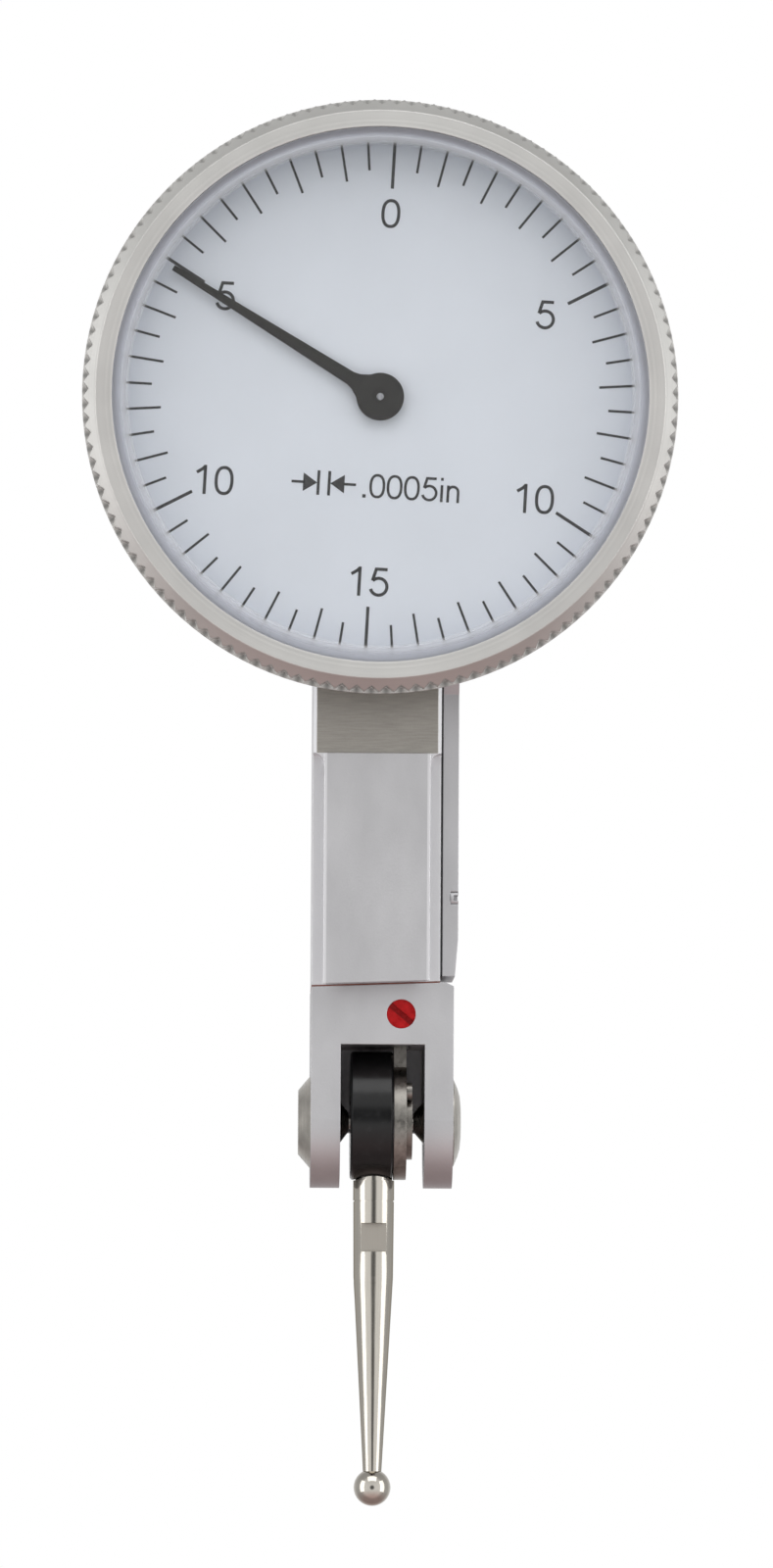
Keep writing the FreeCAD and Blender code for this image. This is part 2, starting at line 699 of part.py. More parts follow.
def build_fork():
    fork = new_piece("fork_block")
    left = "-" + half
    width = "%s + fork_right" % half
    top = "(foot_top + 1)"
    raise_pad(fork, "X", left, width, circles=[("0", "0", "core_depth")])
    side = [
        ("-core_depth", "0"),
        ("-core_depth", top),
        (face, top),
        (face, "-web_bottom"),
        ("core_depth / 2", "-web_bottom"),
        ("core_depth / 2", "0"),
    ]
    raise_pad(fork, "X", left, width, [side])
    gap = box("-slot_left", "slot_right", "-core_depth - 1", "slot_ceiling")
    cut_pocket(fork, "F", "-web_front", "web_front + core_depth + 1", [gap])
    corner = "(fork_right - fork_corner_width)"
    above = [
        ("-%s - 1" % half, seam("-%s - 1" % half) + " - shim_thick"),
        (corner, seam(corner) + " - shim_thick"),
        ("fork_right", seam(corner) + " - shim_thick - fork_corner_height"),
        ("fork_right + 1", seam(corner) + " - shim_thick - fork_corner_height"),
        ("fork_right + 1", top + " + 1"),
        ("-%s - 1" % half, top + " + 1"),
    ]
    cut_pocket(fork, "F", "-%s - 1" % face, "%s + core_depth + 2" % face, [above])
    tongue = box("-%s + tongue_fit" % wall, "tongue_right", "seam_height - 1", "foot_top - tongue_top_gap")
    raise_pad(fork, "F", "-(foot_half - tongue_fit)", "2 * (foot_half - tongue_fit)", [tongue])
    passage = box("passage_left", "passage_right", "slot_ceiling - 1", top)
    cut_pocket(fork, "F", "-passage_half", "2 * passage_half", [passage])
    thread = [("0", "0", "screw_thread")]
    cut_pocket(fork, "X", "-%s - 0.1" % half, "%s - slot_left + 0.2" % half, circles=thread)
    cut_pocket(fork, "X", "slot_right - 0.1", "fork_right - slot_right + 0.2", circles=thread)
    lock_start = "core_depth - lock_sink - lock_length"
    cut_pocket(fork, "F", lock_start, "lock_length + 1", circles=[("lock_x", "lock_z", "lock_radius")])

    shim = new_piece("fork_shim")
    strip = [
        ("-" + half, seam("-" + half) + " - shim_thick"),
        (half, seam(half) + " - shim_thick"),
        (half, seam(half)),
        ("-" + half, seam("-" + half)),
    ]
    raise_pad(shim, "F", "-(core_depth - shim_inset)", "2 * (core_depth - shim_inset)", [strip])
    hole = box("-" + wall, "passage_right + running", "-foot_half", "foot_half")
    cut_pocket(shim, "Z", "slot_ceiling", "foot_top - slot_ceiling", [hole])

    lock = new_piece("lock_screw", "lock_x", "0", "lock_z")
    top_face = "(core_depth - lock_sink)"
    turn_profile(lock, "F", [
        (lock_start, "0"),
        (lock_start, "lock_radius"),
        (top_face, "lock_radius"),
        (top_face, "0"),
    ])
    slit = box("-lock_radius - 1", "lock_radius + 1", "-slot_wide / 2", "slot_wide / 2")
    cut_pocket(lock, "F", top_face + " - slot_deep", "slot_deep + 1", [slit], turn="-40")

    grub = new_piece("tongue_screw", "-tongue_screw_x", "0", "tongue_screw_z")
    head = "-(%s - tongue_screw_sink)" % face
    end = "-(foot_half - tongue_fit + 0.01)"
    turn_profile(grub, "F", [
        (head, "0"),
        (head, "tongue_screw_radius"),
        (end, "tongue_screw_radius"),
        (end, "0"),
    ])
    slit = box("-tongue_screw_radius - 1", "tongue_screw_radius + 1", "-slot_wide / 2", "slot_wide / 2")
    cut_pocket(grub, "F", head + " - 1", "slot_deep + 1", [slit])


def build_pivot():
    left = new_piece("pivot_screw_left")
    gap = "(-hub_left - cone_gap)"
    turn_profile(left, "X", [
        ("-%s - left_head_proud" % half, "0"),
        ("-%s - left_head_proud" % half, "left_head_flat"),
        ("-" + half, "left_head"),
        ("-" + half, "screw_thread"),
        ("-slot_left", "screw_thread"),
        ("-slot_left", "cone_base"),
        (gap, "cone_end"),
        (gap, "point_radius"),
        (gap + " + cone_gap + point_length", "point_radius"),
        (gap + " + cone_gap + point_length", "0"),
    ])
    slit = box("-slot_wide", "slot_wide", "-left_head - 1", "left_head + 1")
    cut_pocket(left, "X", "-%s - left_head_proud - 1" % half, "1 + slot_deep", [slit])
    right = new_piece("pivot_screw_right")
    axle_end = "(%s + nut_thick)" % lever_out
    gap = "(%s + cone_gap)" % axle_end
    dome = "(0.5 * right_head + 0.5 * right_head_flat)"
    turn_profile(right, "X", [
        ("fork_right + right_head_proud", "0"),
        ("fork_right + right_head_proud", "0.6 * right_head_flat"),
        ("fork_right + 0.88 * right_head_proud", "right_head_flat"),
        ("fork_right + 0.6 * right_head_proud", dome),
        ("fork_right + 0.18 * right_head_proud", "right_head"),
        ("fork_right", "right_head"),
        ("fork_right", "screw_thread"),
        ("slot_right", "screw_thread"),
        ("slot_right", "cone_base"),
        (gap, "cone_end"),
        (gap, "point_radius"),
        (gap + " - cone_gap - point_length", "point_radius"),
        (gap + " - cone_gap - point_length", "0"),
    ])
    cut_pocket(right, "X", "fork_right + right_head_proud - slot_deep", "1", [slit])
    axle = new_piece("pivot_axle")
    turn_profile(axle, "X", [
        ("-hub_left", "point_radius + running"),
        ("-hub_left", "axle_head"),
        ("-hub_left + axle_head_height", "axle_head"),
        ("-hub_left + axle_head_height", "axle_radius"),
        (axle_end, "axle_radius"),
        (axle_end, "point_radius + running"),
        (axle_end + " - cup_depth", "point_radius + running"),
        (axle_end + " - cup_depth", "0"),
        ("-hub_left + cup_depth", "0"),
        ("-hub_left + cup_depth", "point_radius + running"),
    ])
    nut = new_piece("lever_nut")
    turn_profile(nut, "X", ring_profile(lever_out, axle_end, "axle_radius", "nut_radius"))
    washer = new_piece("friction_washer")
    bore = "axle_radius + running"
    turn_profile(washer, "X", ring_profile(lever_in + " - washer_thick", lever_in, bore, "washer_radius"))


def build_lever():
    plate = new_piece("lever_plate")
    raise_pad(plate, "X", lever_in, "lever_thick", circles=[("0", "0", "lever_radius")])
    pin_line = "(contact_half + contact_radius + contact_play)"
    wing = "(%s + contact_radius + 0.2)" % pin_line
    neck_line = "contact_height - contact_head - 0.6"
    arm = [
        ("-lever_root", "0"),
        ("-lever_waist", neck_line),
        ("-" + wing, "contact_height - contact_head"),
        ("-" + wing, "contact_height + contact_head"),
        (wing, "contact_height + contact_head"),
        (wing, "contact_height - contact_head"),
        ("lever_waist", neck_line),
        ("lever_root", "0"),
    ]
    raise_pad(plate, "X", lever_in, "lever_thick", [arm])
    cut_pocket(plate, "X", lever_in + " - 0.1", "lever_thick + 0.2", circles=[("0", "0", "axle_radius")])
    pin_start = "arm_left"
    pins = []
    for y in (pin_line, "-" + pin_line):
        seat = [(y, "contact_height", "contact_radius")]
        cut_pocket(plate, "X", lever_in + " - 0.1", "lever_thick + 0.2", circles=seat)
        pins.append(bar("right", (pin_start, y, "contact_height"), "0", "contact_radius", lever_out + " - arm_left"))
    group("contact_pins", pins)
    stop = new_piece("lever_stop", "0", "-stop_forward", "stop_height")
    turn_profile(stop, "X", [
        (lever_out, "0"),
        (lever_out, "stop_radius"),
        (lever_out + " + stop_length", "stop_radius"),
        (lever_out + " + stop_length", "0"),
    ])


def build_stylus():
    hub = new_piece("stylus_hub")
    width = "hub_left + hub_right"
    pad = raise_pad(hub, "X", "-hub_left", width, circles=[("0", "hub_rise", "hub_radius")])
    rims = ["Edge%d" % (i + 1) for i, edge in enumerate(pad.Shape.Edges) if edge.Curve.TypeId == "Part::GeomCircle"]
    bevel = hub.newObject("PartDesign::Chamfer", "hub_bevel")
    bevel.Base = (pad, rims)
    bevel.setExpression("Size", expand("hub_edge"))
    finish(hub, bevel, False)
    cut_pocket(hub, "X", "-hub_left - 0.1", width + " + 0.2", circles=[("0", "0", "axle_radius + running")])
    head = [("0", "0", "axle_head + running")]
    cut_pocket(hub, "X", "-hub_left - 0.1", "axle_head_height + running + 0.1", circles=head)
    recess = [("0", "0", "washer_radius + running")]
    cut_pocket(hub, "X", "hub_right - washer_thick", "washer_thick + 0.1", circles=recess)
    spot = [("0", "0", "collar_radius + running")]
    cut_pocket(hub, "Z", "-hub_radius - 1", "hub_radius + 1 - spot_depth", circles=spot)
    cut_pocket(hub, "Z", "-spot_depth - 0.1", "spot_depth - stud_top + 0.1", circles=[("0", "0", "stud_radius")])

    collar = new_piece("stylus_collar")
    turn_profile(collar, "Z", [
        ("-spot_depth", "stud_radius"),
        ("-spot_depth", "hub_right"),
        ("-lever_radius - running", "hub_right"),
        ("-lever_radius - running", "collar_radius"),
        ("-collar_end", "collar_radius"),
        ("-collar_end", "stud_radius"),
    ])

    stylus = new_piece("stylus")
    turn_profile(stylus, "Z", [
        ("-stud_top", "0"),
        ("-stud_top", "stud_radius"),
        ("-collar_end", "stud_radius"),
        ("-collar_end", "stylus_radius - line_depth"),
        ("-collar_end - line_height", "stylus_radius - line_depth"),
        ("-collar_end - line_height", "stylus_radius"),
        ("-taper_start + 0.4", "shoulder_radius + 0.02"),
        ("-taper_start", "shoulder_radius"),
        ("-ball_height + ball_radius / 2", "tip_radius"),
        ("-ball_height + ball_radius / 2", "0"),
    ])
    flat = box("-2 * stylus_radius", "2 * stylus_radius", "-flat_top - flat_height", "-flat_top")
    cut_pocket(stylus, "F", "flat_half", "1", [flat])
    cut_pocket(stylus, "F", "-flat_half - 1", "1", [flat])
    seat = stylus.newObject("PartDesign::SubtractiveSphere", "ball_seat")
    seat.AttachmentSupport = [(datum(stylus, "XY_Plane"), "")]
    seat.MapMode = "FlatFace"
    seat.setExpression("AttachmentOffset.Base.z", expand("-ball_height"))
    seat.setExpression("Radius", expand("ball_radius"))
    finish(stylus, seat, False)

    ball = doc.addObject("Part::Sphere", "stylus_ball")
    ball.Label = "stylus_ball"
    ball.setExpression("Radius", expand("ball_radius"))
    place(ball, z="-ball_height")
    pieces.append(check(ball))


def arbor_profile(collars):
    """Arbor between the left wall and the bridge; collars is a list of (start, end, radius)."""
    start = "-%s + end_shake" % wall
    end = "bridge_left - end_shake"
    profile = [
        (start + " - pivot_depth", "0"),
        (start + " - pivot_depth", "pivot_radius"),
        (start, "pivot_radius"),
        (start, "arbor_radius"),
    ]
    for low, high, radius in collars:
        profile += [(low, "arbor_radius"), (low, radius), (high, radius), (high, "arbor_radius")]
    profile += [
        (end, "arbor_radius"),
        (end, "pivot_radius"),
        (end + " + pivot_depth", "pivot_radius"),
        (end + " + pivot_depth", "0"),
    ]
    return profile


def build_sector():
    arbor = new_piece("sector_arbor", "0", "0", sector_height)
    middle = ("-sector_left + sector_thick", "arm_left", "boss_radius * 0.75")
    turn_profile(arbor, "X", arbor_profile([middle]))
    gear = new_piece("sector_gear", "0", "0", sector_height)
    raise_pad(gear, "X", "-sector_left", "sector_thick", circles=[("0", "0", "boss_radius")])
    pitch = "(360deg * pinion_radius / (sector_radius * pinion_teeth))"
    rim = "(sector_radius - tooth_root)"
    half_span = "(%s * sector_teeth / 2 + 0.4deg)" % pitch
    edge = []
    steps = 6
    for i in range(steps + 1):
        share = 2.0 * i / steps - 1.0
        edge.append(("%s * sin(%s * %s)" % (rim, share, half_span), "%s * cos(%s * %s)" % (rim, share, half_span)))
    fan = [("-spoke_half", "0")] + edge + [("spoke_half", "0")]
    raise_pad(gear, "X", "-sector_left", "sector_thick", [fan])
    window = [
        ("-spoke_window", "boss_radius + 2"),
        ("-0.5 * %s * tan(%s)" % (rim, half_span), "sector_radius - 2"),
        ("0.5 * %s * tan(%s)" % (rim, half_span), "sector_radius - 2"),
        ("spoke_window", "boss_radius + 2"),
    ]
    cut_pocket(gear, "X", "-sector_left - 0.1", "sector_thick + 0.2", [window])
    cut_pocket(gear, "X", "-sector_left - 0.1", "sector_thick + 0.2", circles=[("0", "0", "arbor_radius")])
    span = "%s * (sector_teeth - 1)" % pitch
    share = "(sector_radius / pinion_radius * pinion_teeth)"
    shape = tooth("sector_radius", share)
    first = raise_pad(gear, "X", "-sector_left", "sector_thick", [shape], turn="-(%s) / 2 * 1rad / 1rad" % span)
    repeat(gear, first, "X", "sector_teeth", span)
    arm = new_piece("reversing_arm", "0", "0", sector_height)
    raise_pad(arm, "X", "arm_left", "arm_thick", circles=[("0", "0", "boss_radius")])
    reach = "(%s - contact_height)" % sector_height
    blade = [
        ("-spoke_half", "0"),
        ("-contact_half", "-(%s - 1)" % reach),
        ("-contact_half", "-(%s + 0.5)" % reach),
        ("contact_half", "-(%s + 0.5)" % reach),
        ("contact_half", "-(%s - 1)" % reach),
        ("spoke_half", "0"),
    ]
    raise_pad(arm, "X", "arm_left", "arm_thick", [blade])
    cut_pocket(arm, "X", "arm_left - 0.1", "arm_thick + 0.2", circles=[("0", "0", "arbor_radius")])


def build_crown():
    arbor = new_piece("crown_arbor", "0", "0", "dial_height")
    low = "(-sector_left - pinion_side)"
    high = "(-sector_left + sector_thick + pinion_side)"
    turn_profile(arbor, "X", arbor_profile([(low, high, "pinion_radius - tooth_root")]))
    shape = tooth("pinion_radius", "pinion_teeth")
    first = raise_pad(arbor, "X", low, "%s - %s" % (high, low), [shape], turn="180deg / pinion_teeth")
    repeat(arbor, first, "X", "pinion_teeth")

    wheel = new_piece("crown_wheel", "0", "0", "dial_height")
    face_x = "(%s + tooth_root)" % centre_pitch
    raise_pad(wheel, "X", face_x, "crown_thick", circles=[("0", "0", "crown_radius")])
    cut_pocket(wheel, "X", face_x + " - 0.1", "crown_thick + 0.2", circles=[("0", "0", "arbor_radius")])
    hole = [("0", "(crown_radius - crown_width + boss_radius) / 2", "(crown_radius - crown_width - boss_radius) * 0.4")]
    light = cut_pocket(wheel, "X", face_x + " - 0.1", "crown_thick + 0.2", circles=hole)
    repeat(wheel, light, "X", "5", grows=False)
    pitch = "(2 * pi * crown_radius / crown_teeth)"
    cog = [
        (face_x + " + 0.02", "-0.36 * " + pitch),
        (face_x + " - tooth_root - tooth_rise", "-0.1 * " + pitch),
        (face_x + " - tooth_root - tooth_rise", "0.1 * " + pitch),
        (face_x + " + 0.02", "0.36 * " + pitch),
    ]
    first = raise_pad(wheel, "F", "crown_radius - crown_width", "crown_width", [cog])
    repeat(wheel, first, "X", "crown_teeth")

    collet = new_piece("hairspring_collet", "0", "0", "dial_height")
    coil_x = "(%s + crown_thick + 0.3)" % face_x
    turn_profile(collet, "X", ring_profile(coil_x, coil_x + " + collet_thick", "arbor_radius", "collet_radius"))
    build_hairspring(coil_x)


def build_hairspring(coil_x):
    """Flat spiral that runs out from the collet to the stud."""
    inner = number("collet_radius + running")
    outer = number("spring_radius")
    thick = number("spring_thick")
    turns = number("spring_turns")
    steps = int(18 * turns)
    near = []
    far = []
    for i in range(steps + 1):
        angle = 2 * math.pi * turns * i / steps
        radius = inner + (outer - inner) * i / steps
        near.append(Vector(0, radius * math.sin(angle), radius * math.cos(angle)))
        far.append(Vector(0, (radius + thick) * math.sin(angle), (radius + thick) * math.cos(angle)))
    ribbon = Part.Face(Part.makePolygon(near + far[::-1] + near[:1]))
    spring = doc.addObject("Part::Feature", "hairspring")
    spring.Label = "hairspring"
    spring.Shape = ribbon.extrude(Vector(number("spring_high"), 0, 0))
    place(spring, coil_x + " + (collet_thick - spring_high) / 2", "0", "dial_height")
    pieces.append(check(spring))
    stud_at = (coil_x, "0", "dial_height + spring_radius + spring_thick + stud_pin")
    length = "bridge_left - " + coil_x
    group("hairspring_stud", [bar("right", stud_at, "0", "stud_pin", length)])


def pillar_places():
    return [
        ("-pillar_half", "pillar_low"),
        ("pillar_half", "pillar_low"),
        ("-pillar_wide", "pillar_high"),
        ("pillar_wide", "pillar_high"),
    ]


def build_bridge():
    bridge = new_piece("movement_bridge")
    low = "(pillar_half + pillar_radius)"
    high = "(pillar_wide + pillar_radius)"
    shape = [
        ("-" + low, "pillar_low - pillar_radius - bridge_edge"),
        (low, "pillar_low - pillar_radius - bridge_edge"),
        (low, "cavity_widens"),
        (high, "cavity_widens + cavity_slope"),
        (high, "pillar_high + pillar_radius + bridge_edge"),
        ("-" + high, "pillar_high + pillar_radius + bridge_edge"),
        ("-" + high, "cavity_widens + cavity_slope"),
        ("-" + low, "cavity_widens"),
    ]
    raise_pad(bridge, "X", "bridge_left", "bridge_thick", [shape])
    view = [
        ("-pillar_radius * 2", "cavity_widens + cavity_slope + 2"),
        ("pillar_radius * 2", "cavity_widens + cavity_slope + 2"),
        ("pillar_radius * 3", "dial_height - crown_radius - 1"),
        ("-pillar_radius * 3", "dial_height - crown_radius - 1"),
    ]
    cut_pocket(bridge, "X", "bridge_left - 0.1", "bridge_thick + 0.2", [view])
    seats = [("0", "dial_height", "pivot_radius + pivot_fit"), ("0", sector_height, "pivot_radius + pivot_fit")]
    cut_pocket(bridge, "X", "bridge_left - 0.1", "bridge_thick + 0.2", circles=seats)
    pillars = []
    screws = []
    for y, z in pillar_places():
        cut_pocket(bridge, "X", "bridge_left - 0.1", "bridge_thick + 0.2", circles=[(y, z, "small_thread")])
        post = bar("right", ("-" + wall, y, z), "0", "pillar_radius", "bridge_left + " + wall)
        drill = bar("right", ("bridge_left - small_length + bridge_thick", y, z), "0", "small_thread", "small_length")
        pillar = doc.addObject("Part::Cut", "pillar")
        pillar.Base = post
        pillar.Tool = drill
        pillars.append(check(pillar))
        at = ("bridge_left + bridge_thick", y, z)
        screws.append(slotted("right", at, "small_head", "small_head_height", "small_thread", "small_length"))
    group("bridge_pillars", pillars)
    group("bridge_screws", screws)


def build_centre():
    cock = new_piece("centre_cock", "0", "0", "dial_height")
    arm = box("-" + wall, "centre_radius + cock_reach", "-cock_half", "cock_half")
    raise_pad(cock, "F", "cock_forward", "cock_thick", [arm])
    foot = box("-" + wall, "-%s + cock_foot" % wall, "-cock_half", "cock_screw_rise + cock_half")
    raise_pad(cock, "F", "cock_forward - cock_back - small_head", "cock_thick + cock_back + small_head", [foot])
    cut_pocket(cock, "F", "cock_forward - 0.1", "cock_thick + 0.2", circles=[("0", "0", "pivot_radius + pivot_fit")])
    seat = [("-(cock_forward - cock_back)", "cock_screw_rise", "small_thread")]
    cut_pocket(cock, "X", "-%s - 0.1" % wall, "cock_foot + 0.2", circles=seat)
    at = ("-%s + cock_foot" % wall, "-(cock_forward - cock_back)", "dial_height + cock_screw_rise")
    group("cock_screw", [slotted("right", at, "small_head", "small_head_height", "small_thread", "small_length")])

    bush = new_piece("centre_bush", "0", "0", "dial_height")
    bore = "centre_radius + running"
    turn_profile(bush, "F", ring_profile("cavity_high", case_front, bore, "bush_radius"))

    arbor = new_piece("centre_arbor", "0", "0", "dial_height")
    inner = "(cock_forward + cock_thick + end_shake)"
    pinion_end = "(%s + centre_pinion_length)" % inner
    tip = "(%s + pointer_gap + pointer_thick - 0.05)" % dial_front
    turn_profile(arbor, "F", [
        (inner + " - cock_thick", "0"),
        (inner + " - cock_thick", "pivot_radius"),
        (inner, "pivot_radius"),
        (inner, centre_pitch + " - tooth_root"),
        (pinion_end, centre_pitch + " - tooth_root"),
        (pinion_end, "centre_radius"),
        (dial_front, "centre_radius"),
        (dial_front, "spindle_end"),
        (tip, "spindle_end"),
        (tip, "0"),
    ])
    leaf = tooth(centre_pitch, "centre_teeth")
    first = raise_pad(arbor, "F", inner, "centre_pinion_length", [leaf], turn="90")
    repeat(arbor, first, "Y", "centre_teeth")


def build_pointer():
    hand = new_piece("pointer", "0", "0", "dial_height")
    back = "(%s + pointer_gap)" % dial_front
    raise_pad(hand, "F", back, "pointer_thick", circles=[("0", "0", "pointer_hub")])
    flare = "(pointer_hub + pointer_flare)"
    blade = [
        ("-0.7 * pointer_hub", "pointer_hub * 0.6"),
        ("-pointer_root * 1.25", "pointer_hub + 0.4 * pointer_flare"),
        ("-pointer_root", flare),
        ("-pointer_tip", "pointer_length"),
        ("pointer_tip", "pointer_length"),
        ("pointer_root", flare),
        ("pointer_root * 1.25", "pointer_hub + 0.4 * pointer_flare"),
        ("0.7 * pointer_hub", "pointer_hub * 0.6"),
    ]
    middle = back + " + (pointer_thick - blade_thick) / 2"
    raise_pad(hand, "F", middle, "blade_thick", [blade], turn="pointer_angle")
    cut_pocket(hand, "F", back + " - 0.1", "pointer_thick + 0.2", circles=[("0", "0", "spindle_end")])
    dish = [("0", "0", "pointer_recess")]
    cut_pocket(hand, "F", back + " + pointer_thick - pointer_recess_depth", "1", circles=dish)
    boss = new_piece("pointer_boss", "0", "0", "dial_height")
    turn_profile(boss, "F", ring_profile(dial_front + " + 0.02", back, "spindle_end", "boss_small"))


def build_dial_group():
    dial = new_piece("dial_plate", "0", "0", "dial_height")
    turn_profile(dial, "F", ring_profile(dial_back, dial_front, "dial_hole", "crystal_radius"))
    keeper = new_piece("dial_ring", "0", "0", "dial_height")
    keeper_start = dial_back + " - dial_ring_thick"
    inner = "crystal_radius - dial_ring_width"
    turn_profile(keeper, "F", ring_profile(keeper_start, dial_back, inner, "crystal_radius"))
    ring = new_piece("crystal_ring", "0", "0", "dial_height")
    inner = "crystal_radius - crystal_ring_width"
    turn_profile(ring, "F", ring_profile(dial_front, crystal_back, inner, "crystal_radius"))
    crystal = new_piece("crystal", "0", "0", "dial_height")
    turn_profile(crystal, "F", [
        (crystal_back, "0"),
        (crystal_back, "crystal_radius"),
        (crystal_front, "crystal_radius"),
        (crystal_front, "crystal_radius - lip_hold - 0.05"),
        (crystal_front + " + crystal_bevel", "crystal_radius - lip_hold - 0.05 - 2 * crystal_bevel"),
        (crystal_front + " + crystal_bevel", "0"),
    ])

    bezel = new_piece("bezel", "0", "0", "dial_height")
    tips = "(bezel_radius - tooth_drop)"
    skirt = "(%s + skirt_wall)" % bezel_bore
    back = "(%s + bezel_gap)" % flange_front
    wire_low = "((%s + %s + bezel_gap) / 2 - wire_height / 2 - wire_fit)" % (case_front, flange_front)
    wire_high = "(%s + wire_height + 2 * wire_fit)" % wire_low
    groove_out = "(%s + wire_bite + wire_fit)" % bezel_bore
    window = "(crystal_radius - lip_hold)"
    turn_profile(bezel, "F", [
        (bezel_front, window),
        (bezel_front, "%s - bezel_chamfer" % tips),
        (bezel_front + " - chamfer_depth", tips),
        (bezel_front + " - band_depth", tips),
        (bezel_front + " - band_depth", "bezel_radius"),
        (bezel_front + " - rim_depth", "bezel_radius"),
        (bezel_front + " - rim_depth - 0.1", "bezel_radius - 0.1"),
        (bezel_front + " - rim_depth - 0.1", skirt),
        (back, skirt),
        (back, bezel_bore),
        (wire_low, bezel_bore),
        (wire_low, groove_out),
        (wire_high, groove_out),
        (wire_high, bezel_bore),
        (crystal_front, bezel_bore),
        (crystal_front, window),
    ])
    half_groove = "(groove_share * pi * %s / grooves)" % tips
    notch = [
        ("0", tips + " - groove_depth"),
        ("-%s * 1.5" % half_groove, tips + " + groove_depth / 2"),
        ("%s * 1.5" % half_groove, tips + " + groove_depth / 2"),
    ]
    start = bezel_front + " - band_depth"
    first = cut_pocket(bezel, "F", start, "band_depth + 1", [notch])
    repeat(bezel, first, "Y", "grooves", grows=False)

    case = new_piece("dial_case", "0", "0", "dial_height")
    groove_in = "(%s - wire_bite - wire_fit)" % case_radius
    turn_profile(case, "F", [
        (neck, "bush_radius"),
        (neck, "flange_radius"),
        (flange_front, "flange_radius"),
        (flange_front, case_radius),
        (wire_low, case_radius),
        (wire_low, groove_in),
        (wire_high, groove_in),
        (wire_high, case_radius),
        (case_front, case_radius),
        (case_front, "bush_radius"),
    ])
    head_start = case_front + " - case_screw_sunk"
    screws = []
    for x in ("case_screw_side", "-case_screw_side"):
        for z in ("case_screw_rise", "-case_screw_rise"):
            cut_pocket(case, "F", neck + " - 0.1", "2 * flange_thick", circles=[(x, z, "case_screw_radius")])
            head = [(x, z, "case_screw_head + running")]
            cut_pocket(case, "F", head_start, "case_screw_sunk + 0.1", circles=head)
            at = (x, "-(%s)" % head_start, "dial_height + " + z)
            screws.append(slotted(
                "front", at, "case_screw_head", "case_screw_sunk - 0.02", "case_screw_radius", "case_screw_length"
            ))
    group("case_screws", screws)
    wire = new_piece("bezel_spring", "0", "0", "dial_height")
    profile = ring_profile(
        wire_low + " + wire_fit", wire_high + " - wire_fit", groove_in + " + wire_fit", groove_out + " - wire_fit"
    )
    turn_profile(wire, "F", profile)
    mouth = [
        ("-0.8", "-flange_radius"),
        ("0.8", "-flange_radius"),
        ("0.8", "0"),
        ("-0.8", "0"),
    ]
    cut_pocket(wire, "F", flange_front, "case_rim", [mouth])


build_body()
build_cover()
build_fork()
build_pivot()
build_lever()
build_stylus()
build_sector()
build_crown()
build_bridge()
build_centre()
build_pointer()
build_dial_group()
doc.recompute()

for item in doc.Objects:
    if "Invalid" in item.State or "Error" in item.State:
        raise RuntimeError("%s has an error" % item.Label)
os.makedirs("parts", exist_ok=True)
for piece in pieces:
    if piece.Shape.isNull() or not piece.Shape.isValid():
        raise RuntimeError("%s is not a valid solid" % piece.Label)
    piece.Shape.exportStep("parts/%s.step" % piece.Label)
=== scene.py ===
"""Lever dial test indicator: finishes for its solids, dial printing, crystal and studio.

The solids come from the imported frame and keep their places. This file gives each of them
the finish of the real piece and adds what is printed on the dial.
"""

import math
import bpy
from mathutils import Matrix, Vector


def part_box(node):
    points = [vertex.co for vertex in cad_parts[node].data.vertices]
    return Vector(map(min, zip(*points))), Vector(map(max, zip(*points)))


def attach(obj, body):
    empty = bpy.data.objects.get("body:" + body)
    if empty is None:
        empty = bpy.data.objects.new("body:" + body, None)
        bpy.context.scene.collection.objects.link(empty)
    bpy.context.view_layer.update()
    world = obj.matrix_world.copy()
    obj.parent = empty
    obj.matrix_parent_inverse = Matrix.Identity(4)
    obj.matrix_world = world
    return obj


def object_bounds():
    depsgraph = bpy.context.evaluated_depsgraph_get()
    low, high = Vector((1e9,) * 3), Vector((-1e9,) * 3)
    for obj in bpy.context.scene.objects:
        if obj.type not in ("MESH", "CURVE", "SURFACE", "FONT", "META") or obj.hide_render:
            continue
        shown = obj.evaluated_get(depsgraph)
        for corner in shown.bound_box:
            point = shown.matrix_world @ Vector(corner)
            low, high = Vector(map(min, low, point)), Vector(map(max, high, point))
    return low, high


bl_info = {
    "name": "Dial Test Indicator",
    "version": (1, 0, 0),
    "blender": (4, 5, 0),
    "location": "3D View > Sidebar > Indicator",
    "description": "Finishes, dial printing and studio for a lever dial test indicator",
    "category": "Object",
}

import bmesh
import bpy
from bpy.props import FloatProperty, FloatVectorProperty, IntProperty, PointerProperty, StringProperty
from mathutils import Quaternion, Vector

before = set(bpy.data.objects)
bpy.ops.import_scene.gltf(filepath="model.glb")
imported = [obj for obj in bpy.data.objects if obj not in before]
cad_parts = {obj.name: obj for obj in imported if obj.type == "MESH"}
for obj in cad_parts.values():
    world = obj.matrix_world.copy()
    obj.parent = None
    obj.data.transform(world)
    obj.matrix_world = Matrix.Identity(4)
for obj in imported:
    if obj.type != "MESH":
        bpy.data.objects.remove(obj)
SOLID_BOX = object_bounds()

MM = 0.001
DIAL_LOW, DIAL_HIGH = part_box("dial_plate")
DIAL_CENTRE = (DIAL_LOW + DIAL_HIGH) / 2
DIAL_FACE = DIAL_LOW.y
BEZEL_NOTCHES = 125


# ---------------------------------------------------------------- settings


